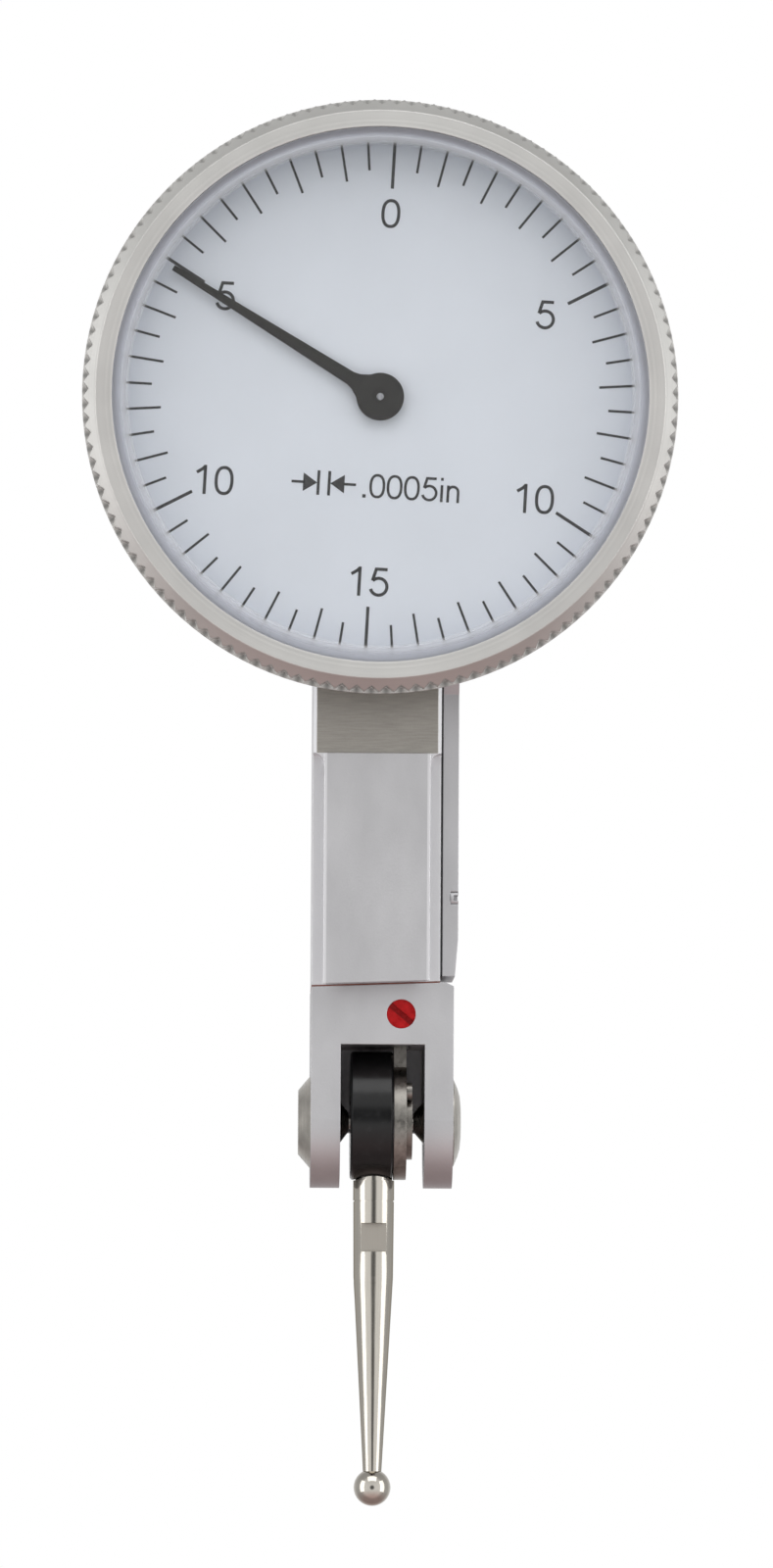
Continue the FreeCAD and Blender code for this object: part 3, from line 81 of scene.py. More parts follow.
class IndicatorDial(bpy.types.PropertyGroup):
    """What is printed on the dial, in the dial's own plane."""

    divisions: IntProperty(name="Divisions", description="Divisions round the dial", default=60, min=4)
    rim: FloatProperty(
        name="Tick rim",
        description="Radius of the outer ends of the ticks",
        default=14.02 * MM,
        unit="LENGTH",
        precision=5,
    )
    long_end: FloatProperty(
        name="Long tick",
        description="Radius of the inner ends of the numbered ticks",
        default=11.3 * MM,
        unit="LENGTH",
        precision=5,
    )
    even_end: FloatProperty(
        name="Even tick",
        description="Radius of the inner ends of the even ticks",
        default=11.79 * MM,
        unit="LENGTH",
        precision=5,
    )
    odd_end: FloatProperty(
        name="Odd tick",
        description="Radius of the inner ends of the odd ticks",
        default=12.28 * MM,
        unit="LENGTH",
        precision=5,
    )
    tick_width: FloatProperty(
        name="Tick width",
        description="Line width of the ticks",
        default=0.13 * MM,
        unit="LENGTH",
        precision=5,
    )
    long_width: FloatProperty(
        name="Long tick width",
        description="Line width of the numbered ticks",
        default=0.17 * MM,
        unit="LENGTH",
        precision=5,
    )
    numeral_radius: FloatProperty(
        name="Numeral radius",
        description="Distance of the numerals from the dial's centre",
        default=9.95 * MM,
        unit="LENGTH",
        precision=5,
    )
    numeral_height: FloatProperty(
        name="Numeral height",
        description="Height of the numerals",
        default=1.57 * MM,
        unit="LENGTH",
        precision=5,
    )
    legend_height: FloatProperty(
        name="Legend height",
        description="Height of the graduation legend",
        default=1.31 * MM,
        unit="LENGTH",
        precision=5,
    )
    tilt: FloatProperty(
        name="Tilt",
        description="How far the dial is turned clockwise",
        default=math.radians(3.0),
        subtype="ANGLE",
    )
    ink_film: FloatProperty(
        name="Ink film",
        description="Thickness of the printing",
        default=0.012 * MM,
        unit="LENGTH",
        precision=6,
    )
    ink: StringProperty(name="Ink", description="Colour of the printing", default="#2B2B2D")
    enamel: StringProperty(name="Enamel", description="Colour of the dial", default="#DCE1E9")


class IndicatorMetal(bpy.types.PropertyGroup):
    """Colours of the metal finishes, as sRGB hex values."""

    chrome_matt: StringProperty(name="Matt chrome", description="Body, cover and fork", default="#CACACC")
    chrome_turned: StringProperty(name="Turned chrome", description="Bezel", default="#D6D5D2")
    nickel: StringProperty(name="Bright nickel", description="Stylus and collar", default="#C6C1B8")
    steel: StringProperty(name="Turned steel", description="Screws and pivots", default="#B9B5AE")
    black: StringProperty(name="Black oxide", description="Hub of the stylus", default="#121213")
    lacquer: StringProperty(name="Sealing lacquer", description="Lock screw", default="#C20F14")
    edge: FloatProperty(
        name="Broken edge",
        description="Radius to which the plated edges are broken",
        default=0.07 * MM,
        unit="LENGTH",
        precision=5,
    )


class IndicatorStudio(bpy.types.PropertyGroup):
    """Camera, lamps and floor."""

    camera: FloatVectorProperty(
        name="Camera",
        description="Place of the camera",
        default=(-0.0090, -0.5594, -0.0338),
        subtype="TRANSLATION",
    )
    aim: FloatVectorProperty(
        name="Aim",
        description="Yaw, pitch and roll of the camera in degrees",
        default=(0.972, 3.915, -0.315),
    )
    lens: FloatProperty(name="Lens", description="Focal length in millimetres", default=239.5)
    fill: FloatProperty(name="Fill", description="Strength of the soft light all round", default=0.66)
    overhead: FloatProperty(name="Overhead", description="Power of the lamp above in watts", default=4.0)
    side: FloatProperty(name="Side", description="Power of each side lamp in watts", default=3.3)
    floor_drop: FloatProperty(
        name="Floor drop",
        description="Floor below the contact ball",
        default=26 * MM,
        unit="LENGTH",
    )


# ---------------------------------------------------------------- shader tools


def linear(code):
    """Scene-linear RGBA of an sRGB hex colour."""
    shares = [int(code[i : i + 2], 16) / 255 for i in (1, 3, 5)]
    return tuple(c / 12.92 if c <= 0.04045 else ((c + 0.055) / 1.055) ** 2.4 for c in shares) + (1.0,)


def shade(code, amount):
    """A linear colour made darker or lighter."""
    return tuple(min(1.0, c * amount) for c in linear(code)[:3]) + (1.0,)


def add_node(tree, kind, values=None, links=None, **settings):
    """Adds a shader node with its settings, its input values and its incoming links."""
    made = tree.nodes.new(kind)
    for key, value in settings.items():
        setattr(made, key, value)
    for key, value in (values or {}).items():
        made.inputs[key].default_value = value
    for key, socket in (links or {}).items():
        tree.links.new(socket, made.inputs[key])
    return made


def new_finish(name):
    """An empty node material."""
    material = bpy.data.materials.new(name)
    material.use_nodes = True
    material.node_tree.nodes.clear()
    return material, material.node_tree


def grain(tree, pitch_mm, detail=2.0, shift=0.0):
    """Noise fixed to the piece; pitch_mm is its spacing along X, Y and Z."""
    where = add_node(tree, "ShaderNodeTexCoord")
    scaled = add_node(
        tree,
        "ShaderNodeMapping",
        {"Scale": [1 / (MM * p) for p in pitch_mm], "Location": (shift, shift, shift)},
        {"Vector": where.outputs["Object"]},
    )
    noise = add_node(
        tree,
        "ShaderNodeTexNoise",
        {"Scale": 1.0, "Detail": detail, "Roughness": 0.55},
        {"Vector": scaled.outputs["Vector"]},
    )
    return noise.outputs["Fac"]


def part_axes(tree, origin=(0.0, 0.0, 0.0)):
    """X, Y and Z of a point of the piece, counted from origin."""
    where = add_node(tree, "ShaderNodeTexCoord")
    moved = add_node(
        tree,
        "ShaderNodeMapping",
        {"Location": [-place for place in origin]},
        {"Vector": where.outputs["Object"]},
    )
    split = add_node(tree, "ShaderNodeSeparateXYZ", links={"Vector": moved.outputs["Vector"]})
    return split.outputs["X"], split.outputs["Y"], split.outputs["Z"]


def figure(tree, operation, *terms):
    """Result of one sum on sockets and plain values."""
    values = {i: term for i, term in enumerate(terms) if not isinstance(term, bpy.types.NodeSocket)}
    links = {i: term for i, term in enumerate(terms) if isinstance(term, bpy.types.NodeSocket)}
    return add_node(tree, "ShaderNodeMath", values, links, operation=operation).outputs["Value"]


def axis_distance(tree, axis, centre):
    """Distance from an axis through centre, in millimetres."""
    where = add_node(tree, "ShaderNodeTexCoord")
    flat = [0.0 if axis == letter else 1 / MM for letter in "XYZ"]
    offset = [-place * factor for place, factor in zip(centre, flat)]
    moved = add_node(
        tree,
        "ShaderNodeMapping",
        {"Scale": flat, "Location": offset},
        {"Vector": where.outputs["Object"]},
    )
    wires = {"Vector": moved.outputs["Vector"]}
    return add_node(tree, "ShaderNodeVectorMath", links=wires, operation="LENGTH").outputs["Value"]


def turned_rings(tree, pitch_mm, axis, centre):
    """Noise in rings round an axis through centre, as a lathe leaves them."""
    noise = add_node(
        tree,
        "ShaderNodeTexNoise",
        {"Scale": 1 / pitch_mm, "Detail": 2.0, "Roughness": 0.6},
        {"W": axis_distance(tree, axis, centre)},
        noise_dimensions="1D",
    )
    return noise.outputs["Fac"]


def product(tree, *shares):
    """Shares multiplied together."""
    result = shares[0]
    for share in shares[1:]:
        result = figure(tree, "MULTIPLY", result, share)
    return result


def notches(tree, count):
    """1 in the middle of each notch round the dial, 0 half way to the next."""
    across, _, up = part_axes(tree, DIAL_CENTRE)
    angle = figure(tree, "ARCTAN2", across, up)
    swing = figure(tree, "PINGPONG", figure(tree, "MULTIPLY", angle, count / (2 * math.pi)), 0.5)
    return spread(tree, swing, 1.0, 0.0, 0.0, 0.5)


def blend(tree, factor, low, high):
    """Colour between low and high by factor."""
    # the mix node has its colour inputs at 6 and 7 and its colour output at 2
    values, links = {}, {0: factor}
    for slot, colour in ((6, low), (7, high)):
        (links if isinstance(colour, bpy.types.NodeSocket) else values)[slot] = colour
    return add_node(tree, "ShaderNodeMix", values, links, data_type="RGBA").outputs[2]


def spread(tree, factor, low, high, start=0.3, end=0.7):
    """Maps a pattern between start and end onto low to high."""
    ranged = add_node(
        tree,
        "ShaderNodeMapRange",
        {"From Min": start, "From Max": end, "To Min": low, "To Max": high},
        {"Value": factor},
    )
    return ranged.outputs["Result"]


def mottle(tree, pattern, code, low, high):
    """A colour that a pattern makes darker and lighter between two shares of it."""
    return blend(tree, spread(tree, pattern, 0.0, 1.0), shade(code, low), shade(code, high))


def surface(tree, colour, rough, bump=None, bump_mm=0.0, edge=0.0, **sockets):
    """One Principled surface with an optional bump and a softly broken edge."""
    values, links = {}, {}
    if edge:
        links["Normal"] = add_node(tree, "ShaderNodeBevel", {"Radius": edge}, samples=4).outputs["Normal"]
    if bump is not None:
        relief = add_node(
            tree,
            "ShaderNodeBump",
            {"Strength": 1.0, "Distance": bump_mm * MM},
            {"Height": bump, **links},
        )
        links["Normal"] = relief.outputs["Normal"]
    for key, value in {"Base Color": colour, "Roughness": rough, **sockets}.items():
        if isinstance(value, bpy.types.NodeSocket):
            links[key] = value
        else:
            values[key] = value
    shader = add_node(tree, "ShaderNodeBsdfPrincipled", values, links)
    add_node(tree, "ShaderNodeOutputMaterial", links={"Surface": shader.outputs["BSDF"]})
    return shader


# ---------------------------------------------------------------- finishes


def chrome_grain(tree, metal):
    """Blast grain of matt chrome and its faintly clouded colour."""
    # the blast grain is about 0.05 mm; it is drawn at 0.12 mm so that it shows
    blast = grain(tree, (0.12, 0.12, 0.12), detail=3.0)
    cloud = grain(tree, (2.4, 2.4, 5.0), shift=3.0)
    return blast, mottle(tree, cloud, metal.chrome_matt, 0.93, 1.05)


def matt_chrome(metal):
    """Ground steel under matt chrome: the blast grain softens every reflection to a pale grey."""
    material, tree = new_finish("matt_chrome_on_ground_steel")
    blast, tone = chrome_grain(tree, metal)
    surface(tree, tone, spread(tree, blast, 0.46, 0.56), blast, 0.004, metal.edge, Metallic=1.0)
    return material


def brushed_neck(metal):
    """Matt chrome, and above the front dovetail the neck, coloured a darker steel grey and streaked with
    cutter marks.
    """
    material, tree = new_finish("matt_chrome_and_milled_neck")
    blast, plated = chrome_grain(tree, metal)
    across, depth, up = part_axes(tree)
    from_middle = figure(tree, "ABSOLUTE", across)
    # painted highlight: the broken edges of the dovetail and the shoulders next to it are coloured lighter,
    # as if they caught more light
    face_half = 2.68 * MM
    painted_edge_highlight = spread(tree, from_middle, 0.0, 1.0, face_half, face_half + 0.04 * MM)
    plated = blend(tree, painted_edge_highlight, plated, shade(metal.chrome_matt, 1.3))
    # cutter marks are about 0.03 mm apart; they are drawn at 0.09 mm so that they show
    streak = grain(tree, (1.1, 1.1, 0.09), detail=4.0, shift=7.0)
    dovetail_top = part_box("body_frame")[0].z + 12.44 * MM
    neck_half = 3.25 * MM
    neck_depth = 0.45 * MM
    milled = product(
        tree,
        spread(tree, up, 0.0, 1.0, dovetail_top, dovetail_top + 0.03 * MM),
        spread(tree, from_middle, 1.0, 0.0, neck_half, neck_half + 0.04 * MM),
        spread(tree, depth, 1.0, 0.0, neck_depth, neck_depth + 0.05 * MM),
    )
    # the neck is coloured a darker grey than the plating round it
    tone = blend(tree, milled, plated, mottle(tree, streak, metal.steel, 0.72, 0.86))
    surface(tree, tone, spread(tree, blast, 0.46, 0.56), blast, 0.004, metal.edge, Metallic=1.0)
    return material


def turned_chrome(metal):
    """Satin chrome over lathe turning: faint rings round the dial and a warm grey cast."""
    material, tree = new_finish("satin_chrome_on_turned_brass")
    # the feed marks are about 0.04 mm apart; they are drawn at 0.12 mm so that they show
    rings = turned_rings(tree, 0.12, "Y", DIAL_CENTRE)
    cloud = grain(tree, (3.0, 3.0, 3.0), shift=11.0)
    tone = mottle(tree, cloud, metal.chrome_turned, 0.95, 1.04)
    # painted shade: the notches of the edge are coloured darker, between these two radii in millimetres
    notch_floor, notch_tip = 15.6, 15.75
    outside = spread(tree, axis_distance(tree, "Y", DIAL_CENTRE), 0.0, 1.0, notch_floor, notch_tip)
    notch_shade = product(tree, notches(tree, BEZEL_NOTCHES), outside)
    tone = blend(tree, spread(tree, notch_shade, 0.0, 1.0, 0.45, 0.95), tone, shade(metal.chrome_turned, 0.6))
    # the turning spreads every reflection across the rings, so two bright fans stand left and right
    round_dial = add_node(tree, "ShaderNodeTangent", direction_type="RADIAL", axis="Y")
    sheen = {"Anisotropic": 0.5, "Tangent": round_dial.outputs["Tangent"]}
    surface(tree, tone, spread(tree, rings, 0.40, 0.50), rings, 0.003, metal.edge, Metallic=1.0, **sheen)
    return material


def bright_nickel(metal):
    """Polished nickel: sharp reflections a little warmer than chrome."""
    material, tree = new_finish("bright_nickel")
    # polishing lines run along the shank about 0.1 mm apart
    lines = grain(tree, (0.1, 0.1, 4.0), detail=2.0)
    tone = mottle(tree, lines, metal.nickel, 0.93, 1.03)
    # the two wrench flats stay as the cutter left them, matt and grey
    across, _, up = part_axes(tree)
    shank_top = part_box("stylus")[1].z
    flat_foot, flat_head = shank_top - 5.5 * MM, shank_top - 3.95 * MM
    flat_half = 0.68 * MM
    soft = 0.02 * MM
    milled = product(
        tree,
        spread(tree, up, 0.0, 1.0, flat_foot, flat_foot + soft),
        spread(tree, up, 1.0, 0.0, flat_head - soft, flat_head),
        spread(tree, figure(tree, "ABSOLUTE", across), 1.0, 0.0, flat_half, flat_half + soft),
    )
    rough = figure(tree, "MULTIPLY_ADD", milled, 0.45, spread(tree, lines, 0.09, 0.17))
    tone = blend(tree, milled, tone, shade(metal.nickel, 0.8))
    tint = {"Specular Tint": shade(metal.nickel, 0.62)}
    surface(tree, tone, rough, lines, 0.0015, Metallic=1.0, **tint)
    return material


def polished_ball(metal):
    """Lapped hard metal: a mirror with the faintest haze."""
    material, tree = new_finish("lapped_hard_metal")
    haze = grain(tree, (0.3, 0.3, 0.3))
    tone = mottle(tree, haze, metal.nickel, 0.9, 1.0)
    surface(tree, tone, spread(tree, haze, 0.05, 0.1), haze, 0.001, Metallic=1.0)
    return material


def turned_steel(metal):
    """Bare turned steel: rings round the pivot axis and a duller, browner grey."""
    material, tree = new_finish("turned_steel")
    low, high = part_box("pivot_axle")
    pivot = (low + high) / 2
    # feed marks of about 0.03 mm, drawn at 0.08 mm so that they show
    rings = turned_rings(tree, 0.08, "X", pivot)
    cloud = grain(tree, (1.1, 1.1, 1.1), shift=2.0)
    tone = mottle(tree, cloud, metal.steel, 0.75, 1.05)
    surface(tree, tone, spread(tree, rings, 0.22, 0.36), rings, 0.003, 0.03 * MM, Metallic=1.0)
    return material


def tumbled_nickel(metal):
    """Nickel dulled by tumbling: small dents and a broad soft sheen."""
    material, tree = new_finish("tumbled_nickel")
    dents = grain(tree, (0.25, 0.25, 0.25), detail=3.0)
    tone = mottle(tree, dents, metal.steel, 0.45, 0.68)
    surface(tree, tone, spread(tree, dents, 0.25, 0.42), dents, 0.006, 0.03 * MM, Metallic=1.0)
    return material


def black_oxide(metal):
    """Black oxide under oil: nearly black, with clear highlights and slight wear."""
    material, tree = new_finish("black_oxide")
    wear = grain(tree, (0.5, 0.5, 0.5), detail=4.0)
    tone = blend(tree, spread(tree, wear, 0.0, 1.0, 0.55, 0.8), linear(metal.black), shade(metal.black, 2.2))
    gloss = {"Specular IOR Level": 0.4}
    surface(tree, tone, spread(tree, wear, 0.16, 0.27), wear, 0.002, 0.05 * MM, Metallic=0.0, **gloss)
    return material


def sealing_lacquer(metal):
    """Red sealing lacquer brushed over a screw: glossy, thicker and darker in places."""
    material, tree = new_finish("sealing_lacquer")
    pool = grain(tree, (0.4, 0.4, 0.4), detail=3.0)
    tone = mottle(tree, pool, metal.lacquer, 0.62, 0.95)
    gloss = {"Specular IOR Level": 0.25}
    surface(tree, tone, spread(tree, pool, 0.2, 0.4), pool, 0.02, 0.04 * MM, **gloss)
    return material


def printing_ink(dial):
    """Pad-printed ink: matt black with a slightly uneven film."""
    material, tree = new_finish("pad_printing_ink")
    film = grain(tree, (0.25, 0.25, 0.25), detail=3.0)
    tone = mottle(tree, film, dial.ink, 0.8, 1.4)
    surface(tree, tone, spread(tree, film, 0.5, 0.65), **{"Specular IOR Level": 0.25})
    return material


def dial_enamel(dial):
    """Bluish white enamel on the dial: even, with a faint orange peel."""
    material, tree = new_finish("dial_enamel")
    peel = grain(tree, (0.5, 0.5, 0.5), detail=2.0)
    cloud = grain(tree, (6.0, 6.0, 6.0), shift=5.0)
    tone = mottle(tree, cloud, dial.enamel, 0.975, 1.015)
    surface(tree, tone, spread(tree, peel, 0.42, 0.5), peel, 0.002, **{"Specular IOR Level": 0.3})
    return material


def ring_enamel(dial):
    """Grey lacquer on the ring under the crystal, tinted lavender grey as painted shade of the bezel's lip:
    it frames the dial.
    """
    material, tree = new_finish("ring_lacquer_and_painted_shade")
    film = grain(tree, (0.6, 0.6, 0.6))
    # painted shade: the lavender grey stands in for the shadow on the dial's edge
    tone = blend(tree, spread(tree, film, 0.0, 1.0), linear("#A9ABB8"), linear("#B7B9C4"))
    surface(tree, tone, spread(tree, film, 0.45, 0.55), film, 0.002)
    return material


def matt_black(dial):
    """Matt black paint on the hand: no highlight except along its edges."""
    material, tree = new_finish("matt_black_paint")
    speck = grain(tree, (0.15, 0.15, 0.15), detail=3.0)
    tone = blend(tree, spread(tree, speck, 0.0, 1.0), linear("#161513"), linear("#262422"))
    gloss = {"Specular IOR Level": 0.15}
    surface(tree, tone, spread(tree, speck, 0.5, 0.62), speck, 0.003, 0.03 * MM, **gloss)
    return material


def clear_acrylic(dial):
    """Moulded acrylic: clear and glossy, with a rougher, less clear rim that softens the ticks' ends and
    carries painted shade, a lavender grey for the shadow of the bezel's lip.
    """
    material, tree = new_finish("clear_acrylic")
    from_axis = axis_distance(tree, "Y", DIAL_CENTRE)
    clear_to = 13.45  # millimetres from the dial's axis
    # painted shade: towards the rim the crystal turns lavender grey and lets less light through
    shaded_rim = spread(tree, from_axis, 0.0, 1.0, clear_to, clear_to + 0.5)
    tone = blend(tree, shaded_rim, (1.0, 1.0, 1.0, 1.0), linear("#C6C9D3"))
    rough = spread(tree, from_axis, 0.012, 0.3, clear_to, clear_to + 0.6)
    passing = spread(tree, shaded_rim, 1.0, 0.3, 0.0, 1.0)
    shader = surface(tree, tone, rough, IOR=1.49, **{"Transmission Weight": passing})
    output = next(n for n in tree.nodes if n.type == "OUTPUT_MATERIAL")
    # lamps reach the dial through the crystal
    path = add_node(tree, "ShaderNodeLightPath")
    open_way = add_node(tree, "ShaderNodeBsdfTransparent")
    wires = {0: path.outputs["Is Shadow Ray"], 1: shader.outputs["BSDF"], 2: open_way.outputs["BSDF"]}
    mixed = add_node(tree, "ShaderNodeMixShader", links=wires)
    tree.links.new(mixed.outputs["Shader"], output.inputs["Surface"])
    return material


def lapped_brass(metal):
    """Lapped brass: yellow, straight grained, slightly tarnished."""
    material, tree = new_finish("lapped_brass")
    lap = grain(tree, (0.12, 0.12, 2.0), detail=3.0)
    tone = blend(tree, spread(tree, lap, 0.0, 1.0), linear("#A88D4E"), linear("#D0B670"))
    surface(tree, tone, spread(tree, lap, 0.22, 0.34), lap, 0.003, 0.02 * MM, Metallic=1.0)
    return material


def spring_steel(metal):
    """Polished spring steel: dark grey and bright edged."""
    material, tree = new_finish("spring_steel")
    draw = grain(tree, (0.1, 0.1, 0.8), detail=2.0)
    tone = blend(tree, spread(tree, draw, 0.0, 1.0), linear("#7E7F84"), linear("#A6A7AB"))
    surface(tree, tone, spread(tree, draw, 0.18, 0.28), draw, 0.002, Metallic=1.0)
    return material


def dull_copper(metal):
    """Rolled copper foil gone reddish brown: only its edge shows in the seam."""
    material, tree = new_finish("rolled_copper")
    tarnish = grain(tree, (0.6, 0.6, 0.1), detail=3.0)
    tone = blend(tree, spread(tree, tarnish, 0.0, 1.0), linear("#6E4038"), linear("#A9776B"))
    surface(tree, tone, spread(tree, tarnish, 0.4, 0.55), Metallic=1.0)
    return material


def black_gasket(metal):
    """Moulded rubber: matt near-black line between body and cover."""
    material, tree = new_finish("moulded_rubber")
    mould = grain(tree, (0.2, 0.2, 0.2), detail=3.0)
    tone = blend(tree, spread(tree, mould, 0.0, 1.0), linear("#262628"), linear("#38383B"))
    surface(tree, tone, spread(tree, mould, 0.65, 0.8), mould, 0.004)
    return material


# each finish: the function that makes it and the settings that it is given
FINISHES = {
    "chrome_matt": (matt_chrome, "indicator_metal"),
    "neck": (brushed_neck, "indicator_metal"),
    "chrome_turned": (turned_chrome, "indicator_metal"),
    "nickel": (bright_nickel, "indicator_metal"),
    "ball": (polished_ball, "indicator_metal"),
    "steel": (turned_steel, "indicator_metal"),
    "tumbled": (tumbled_nickel, "indicator_metal"),
    "black": (black_oxide, "indicator_metal"),
    "lacquer": (sealing_lacquer, "indicator_metal"),
    "brass": (lapped_brass, "indicator_metal"),
    "spring": (spring_steel, "indicator_metal"),
    "copper": (dull_copper, "indicator_metal"),
    "rubber": (black_gasket, "indicator_metal"),
    "ink": (printing_ink, "indicator_dial"),
    "enamel": (dial_enamel, "indicator_dial"),
    "ring": (ring_enamel, "indicator_dial"),
    "matt_black": (matt_black, "indicator_dial"),
    "acrylic": (clear_acrylic, "indicator_dial"),
}
made_finishes = {}


def finish(name):
    """The material of that finish, made once."""
    if name not in made_finishes:
        maker, group = FINISHES[name]
        made_finishes[name] = maker(getattr(bpy.context.scene, group))
    return made_finishes[name]


def dress(nodes, name):
    """Gives solids of the frame a finish."""
    for node in nodes:
        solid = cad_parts[node]
        solid.data.materials.clear()
        solid.data.materials.append(finish(name))


# ---------------------------------------------------------------- printing


def arc(cx, cy, rx, ry, start, end, steps=24):
    """Points of an elliptic arc, angles in degrees."""
    points = []
    for i in range(steps + 1):
        angle = math.radians(start + (end - start) * i / steps)
        points.append((cx + rx * math.cos(angle), cy + ry * math.sin(angle)))
    return points


def oval(cx, cy, rx, ry, square=2.35, steps=48):
    """Closed ring of a slightly squared oval."""
    points = []
    for i in range(steps):
        angle = 2 * math.pi * i / steps
        c, s = math.cos(angle), math.sin(angle)
        x, y = (math.copysign(abs(part) ** (2 / square), part) for part in (c, s))
        points.append((cx + rx * x, cy + ry * y))
    return points


LINE = 0.108  # stroke over character height
HALF = LINE / 2
# each character: strokes as (points, closed), ink width and side bearings, in character heights
CHARACTERS = {
    "0": ([(oval(0.325, 0.5, 0.325 - HALF, 0.5 - HALF), True)], 0.65, 0.03, 0.03),
    "1": (
        [
            ([(0.37 - HALF, 0.0), (0.37 - HALF, 1.0)], False),
            ([(0.37 - HALF, 0.955), (0.22, 0.86), (0.03, 0.735)], False),
        ],
        0.37,
        0.02,
        0.25,
    ),
    "5": (
        [
            ([(0.6, 0.945), (0.215, 0.945), (0.105, 0.545)], False),
            (arc(0.325, 0.345, 0.285, 0.29, 137, -162), False),
        ],
        0.665,
        0.04,
        0.04,
    ),
    "i": (
        [
            ([(HALF, 0.0), (HALF, 0.7)], False),
            ([(HALF, 0.88), (HALF, 1.0)], False),
        ],
        LINE,
        0.075,
        0.075,
    ),
    "n": (
        [
            ([(HALF, 0.0), (HALF, 0.7)], False),
            ([(0.47, 0.0)] + arc(0.262, 0.44, 0.208, 0.215, 0, 172, 16), False),
        ],
        0.53,
        0.075,
        0.03,
    ),
    ".": ([([(0.07, 0.0), (0.07, 0.14)], False)], 0.14, 0.02, 0.1),
}
STOP_WEIGHT = 1.3  # the full stop's stroke over the other strokes


def letter_row(text, height, u, v):
    """Strokes of a line of characters centred on (u, v), in metres: (points, closed, width)."""
    glyphs = [CHARACTERS[c] for c in text]
    gaps = [glyphs[i][3] + glyphs[i + 1][2] for i in range(len(glyphs) - 1)] + [0.0]
    total = sum(g[1] for g in glyphs) + sum(gaps)
    cursor = u - total * height / 2
    strokes = []
    for character, (parts, wide, _, _), gap in zip(text, glyphs, gaps):
        weight = STOP_WEIGHT if character == "." else 1.0
        for points, closed in parts:
            placed = [(cursor + x * height, v + (y - 0.5) * height) for x, y in points]
            strokes.append((placed, closed, LINE * height * weight))
        cursor += (wide + gap) * height
    return strokes


def edges_of(points, closed, width):
    """Left and right edges of a stroke, mitred at its corners."""
    left, right = [], []
    count = len(points)
    for i, point in enumerate(points):
        here = Vector(point)
        before = Vector(points[i - 1]) if closed or i else None
        after = Vector(points[(i + 1) % count]) if closed or i < count - 1 else None
        legs = [(a, b) for a, b in ((before, here), (here, after)) if a is not None and b is not None]
        ways = [(b - a).normalized() for a, b in legs]
        across = [Vector((-w.y, w.x)) for w in ways]
        normal = sum(across, Vector((0.0, 0.0))).normalized()
        reach = width / 2 / max(0.35, normal.dot(across[0]))
        left.append(here + normal * reach)
        right.append(here - normal * reach)
    return left, right


def on_dial(point, rise):
    """A point of the dial's own plane in the part's space, rise in front of the dial's face."""
    tilt = bpy.context.scene.indicator_dial.tilt
    u, v = point
    return Vector(
        (
            DIAL_CENTRE.x + u * math.cos(tilt) + v * math.sin(tilt),
            DIAL_FACE - rise,
            DIAL_CENTRE.z - u * math.sin(tilt) + v * math.cos(tilt),
        )
    )


def print_strokes(name, strokes, polygons=()):
    """One printed piece: each stroke and polygon is a thin closed slab on the dial."""
    film = bpy.context.scene.indicator_dial.ink_film
    shape = bmesh.new()
    for points, closed, width in strokes:
        left, right = edges_of(points, closed, width)
        rings = [
            [shape.verts.new(on_dial(p, rise)) for p, rise in ((l, film), (r, film), (r, 0.0), (l, 0.0))]
            for l, r in zip(left, right)
        ]
        for i in range(len(rings) - (0 if closed else 1)):
            a, b = rings[i], rings[(i + 1) % len(rings)]
            for j in range(4):
                k = (j + 1) % 4
                shape.faces.new((a[j], a[k], b[k], b[j]))
        if not closed:
            shape.faces.new(rings[0])
            shape.faces.new(list(reversed(rings[-1])))
    for corners in polygons:
        front = [shape.verts.new(on_dial(c, film)) for c in corners]
        back = [shape.verts.new(on_dial(c, 0.0)) for c in corners]
        shape.faces.new(front)
        shape.faces.new(list(reversed(back)))
        for i in range(len(corners)):
            k = (i + 1) % len(corners)
            shape.faces.new((front[i], back[i], back[k], front[k]))
    bmesh.ops.recalc_face_normals(shape, faces=shape.faces)
    mesh = bpy.data.meshes.new(name)
    shape.to_mesh(mesh)
    shape.free()
    piece = bpy.data.objects.new(name, mesh)
    bpy.context.scene.collection.objects.link(piece)
    mesh.materials.append(finish("ink"))
    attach(piece, "dial_head")
    return piece


def tick_strokes(dial):
    """Radial lines: every tenth is long and numbered, even ones are longer than odd ones."""
    strokes = []
    for i in range(dial.divisions):
        angle = 2 * math.pi * i / dial.divisions
        numbered = i % (dial.divisions // 6) == 0
        inner = dial.long_end if numbered else (dial.odd_end if i % 2 else dial.even_end)
        width = dial.long_width if numbered else dial.tick_width
        way = Vector((math.sin(angle), math.cos(angle)))
        strokes.append(([way * inner, way * dial.rim], False, width))
    return strokes


# ---------------------------------------------------------------- operators


class INDICATOR_OT_body(bpy.types.Operator):
    """Finish the body, the side cover, the fork, the dial case and their seams"""

    bl_idname = "indicator.body"
    bl_label = "Body, Cover and Fork"

    def execute(self, context):
        dress(["body_frame"], "neck")
        dress(["side_cover", "fork_block", "dial_case"], "chrome_matt")
        dress(["cover_gasket"], "rubber")
        dress(["fork_shim"], "copper")
        return {"FINISHED"}


class INDICATOR_OT_screws(bpy.types.Operator):
    """Finish the screws and the pivots"""

    bl_idname = "indicator.screws"
    bl_label = "Screws and Pivots"

    def execute(self, context):
        dress(["cover_screws"], "chrome_matt")
        dress(["case_screws", "tongue_screw", "bridge_screws", "cock_screw"], "steel")
        dress(["pivot_screw_left", "pivot_screw_right"], "steel")
        dress(["lock_screw"], "lacquer")
        return {"FINISHED"}


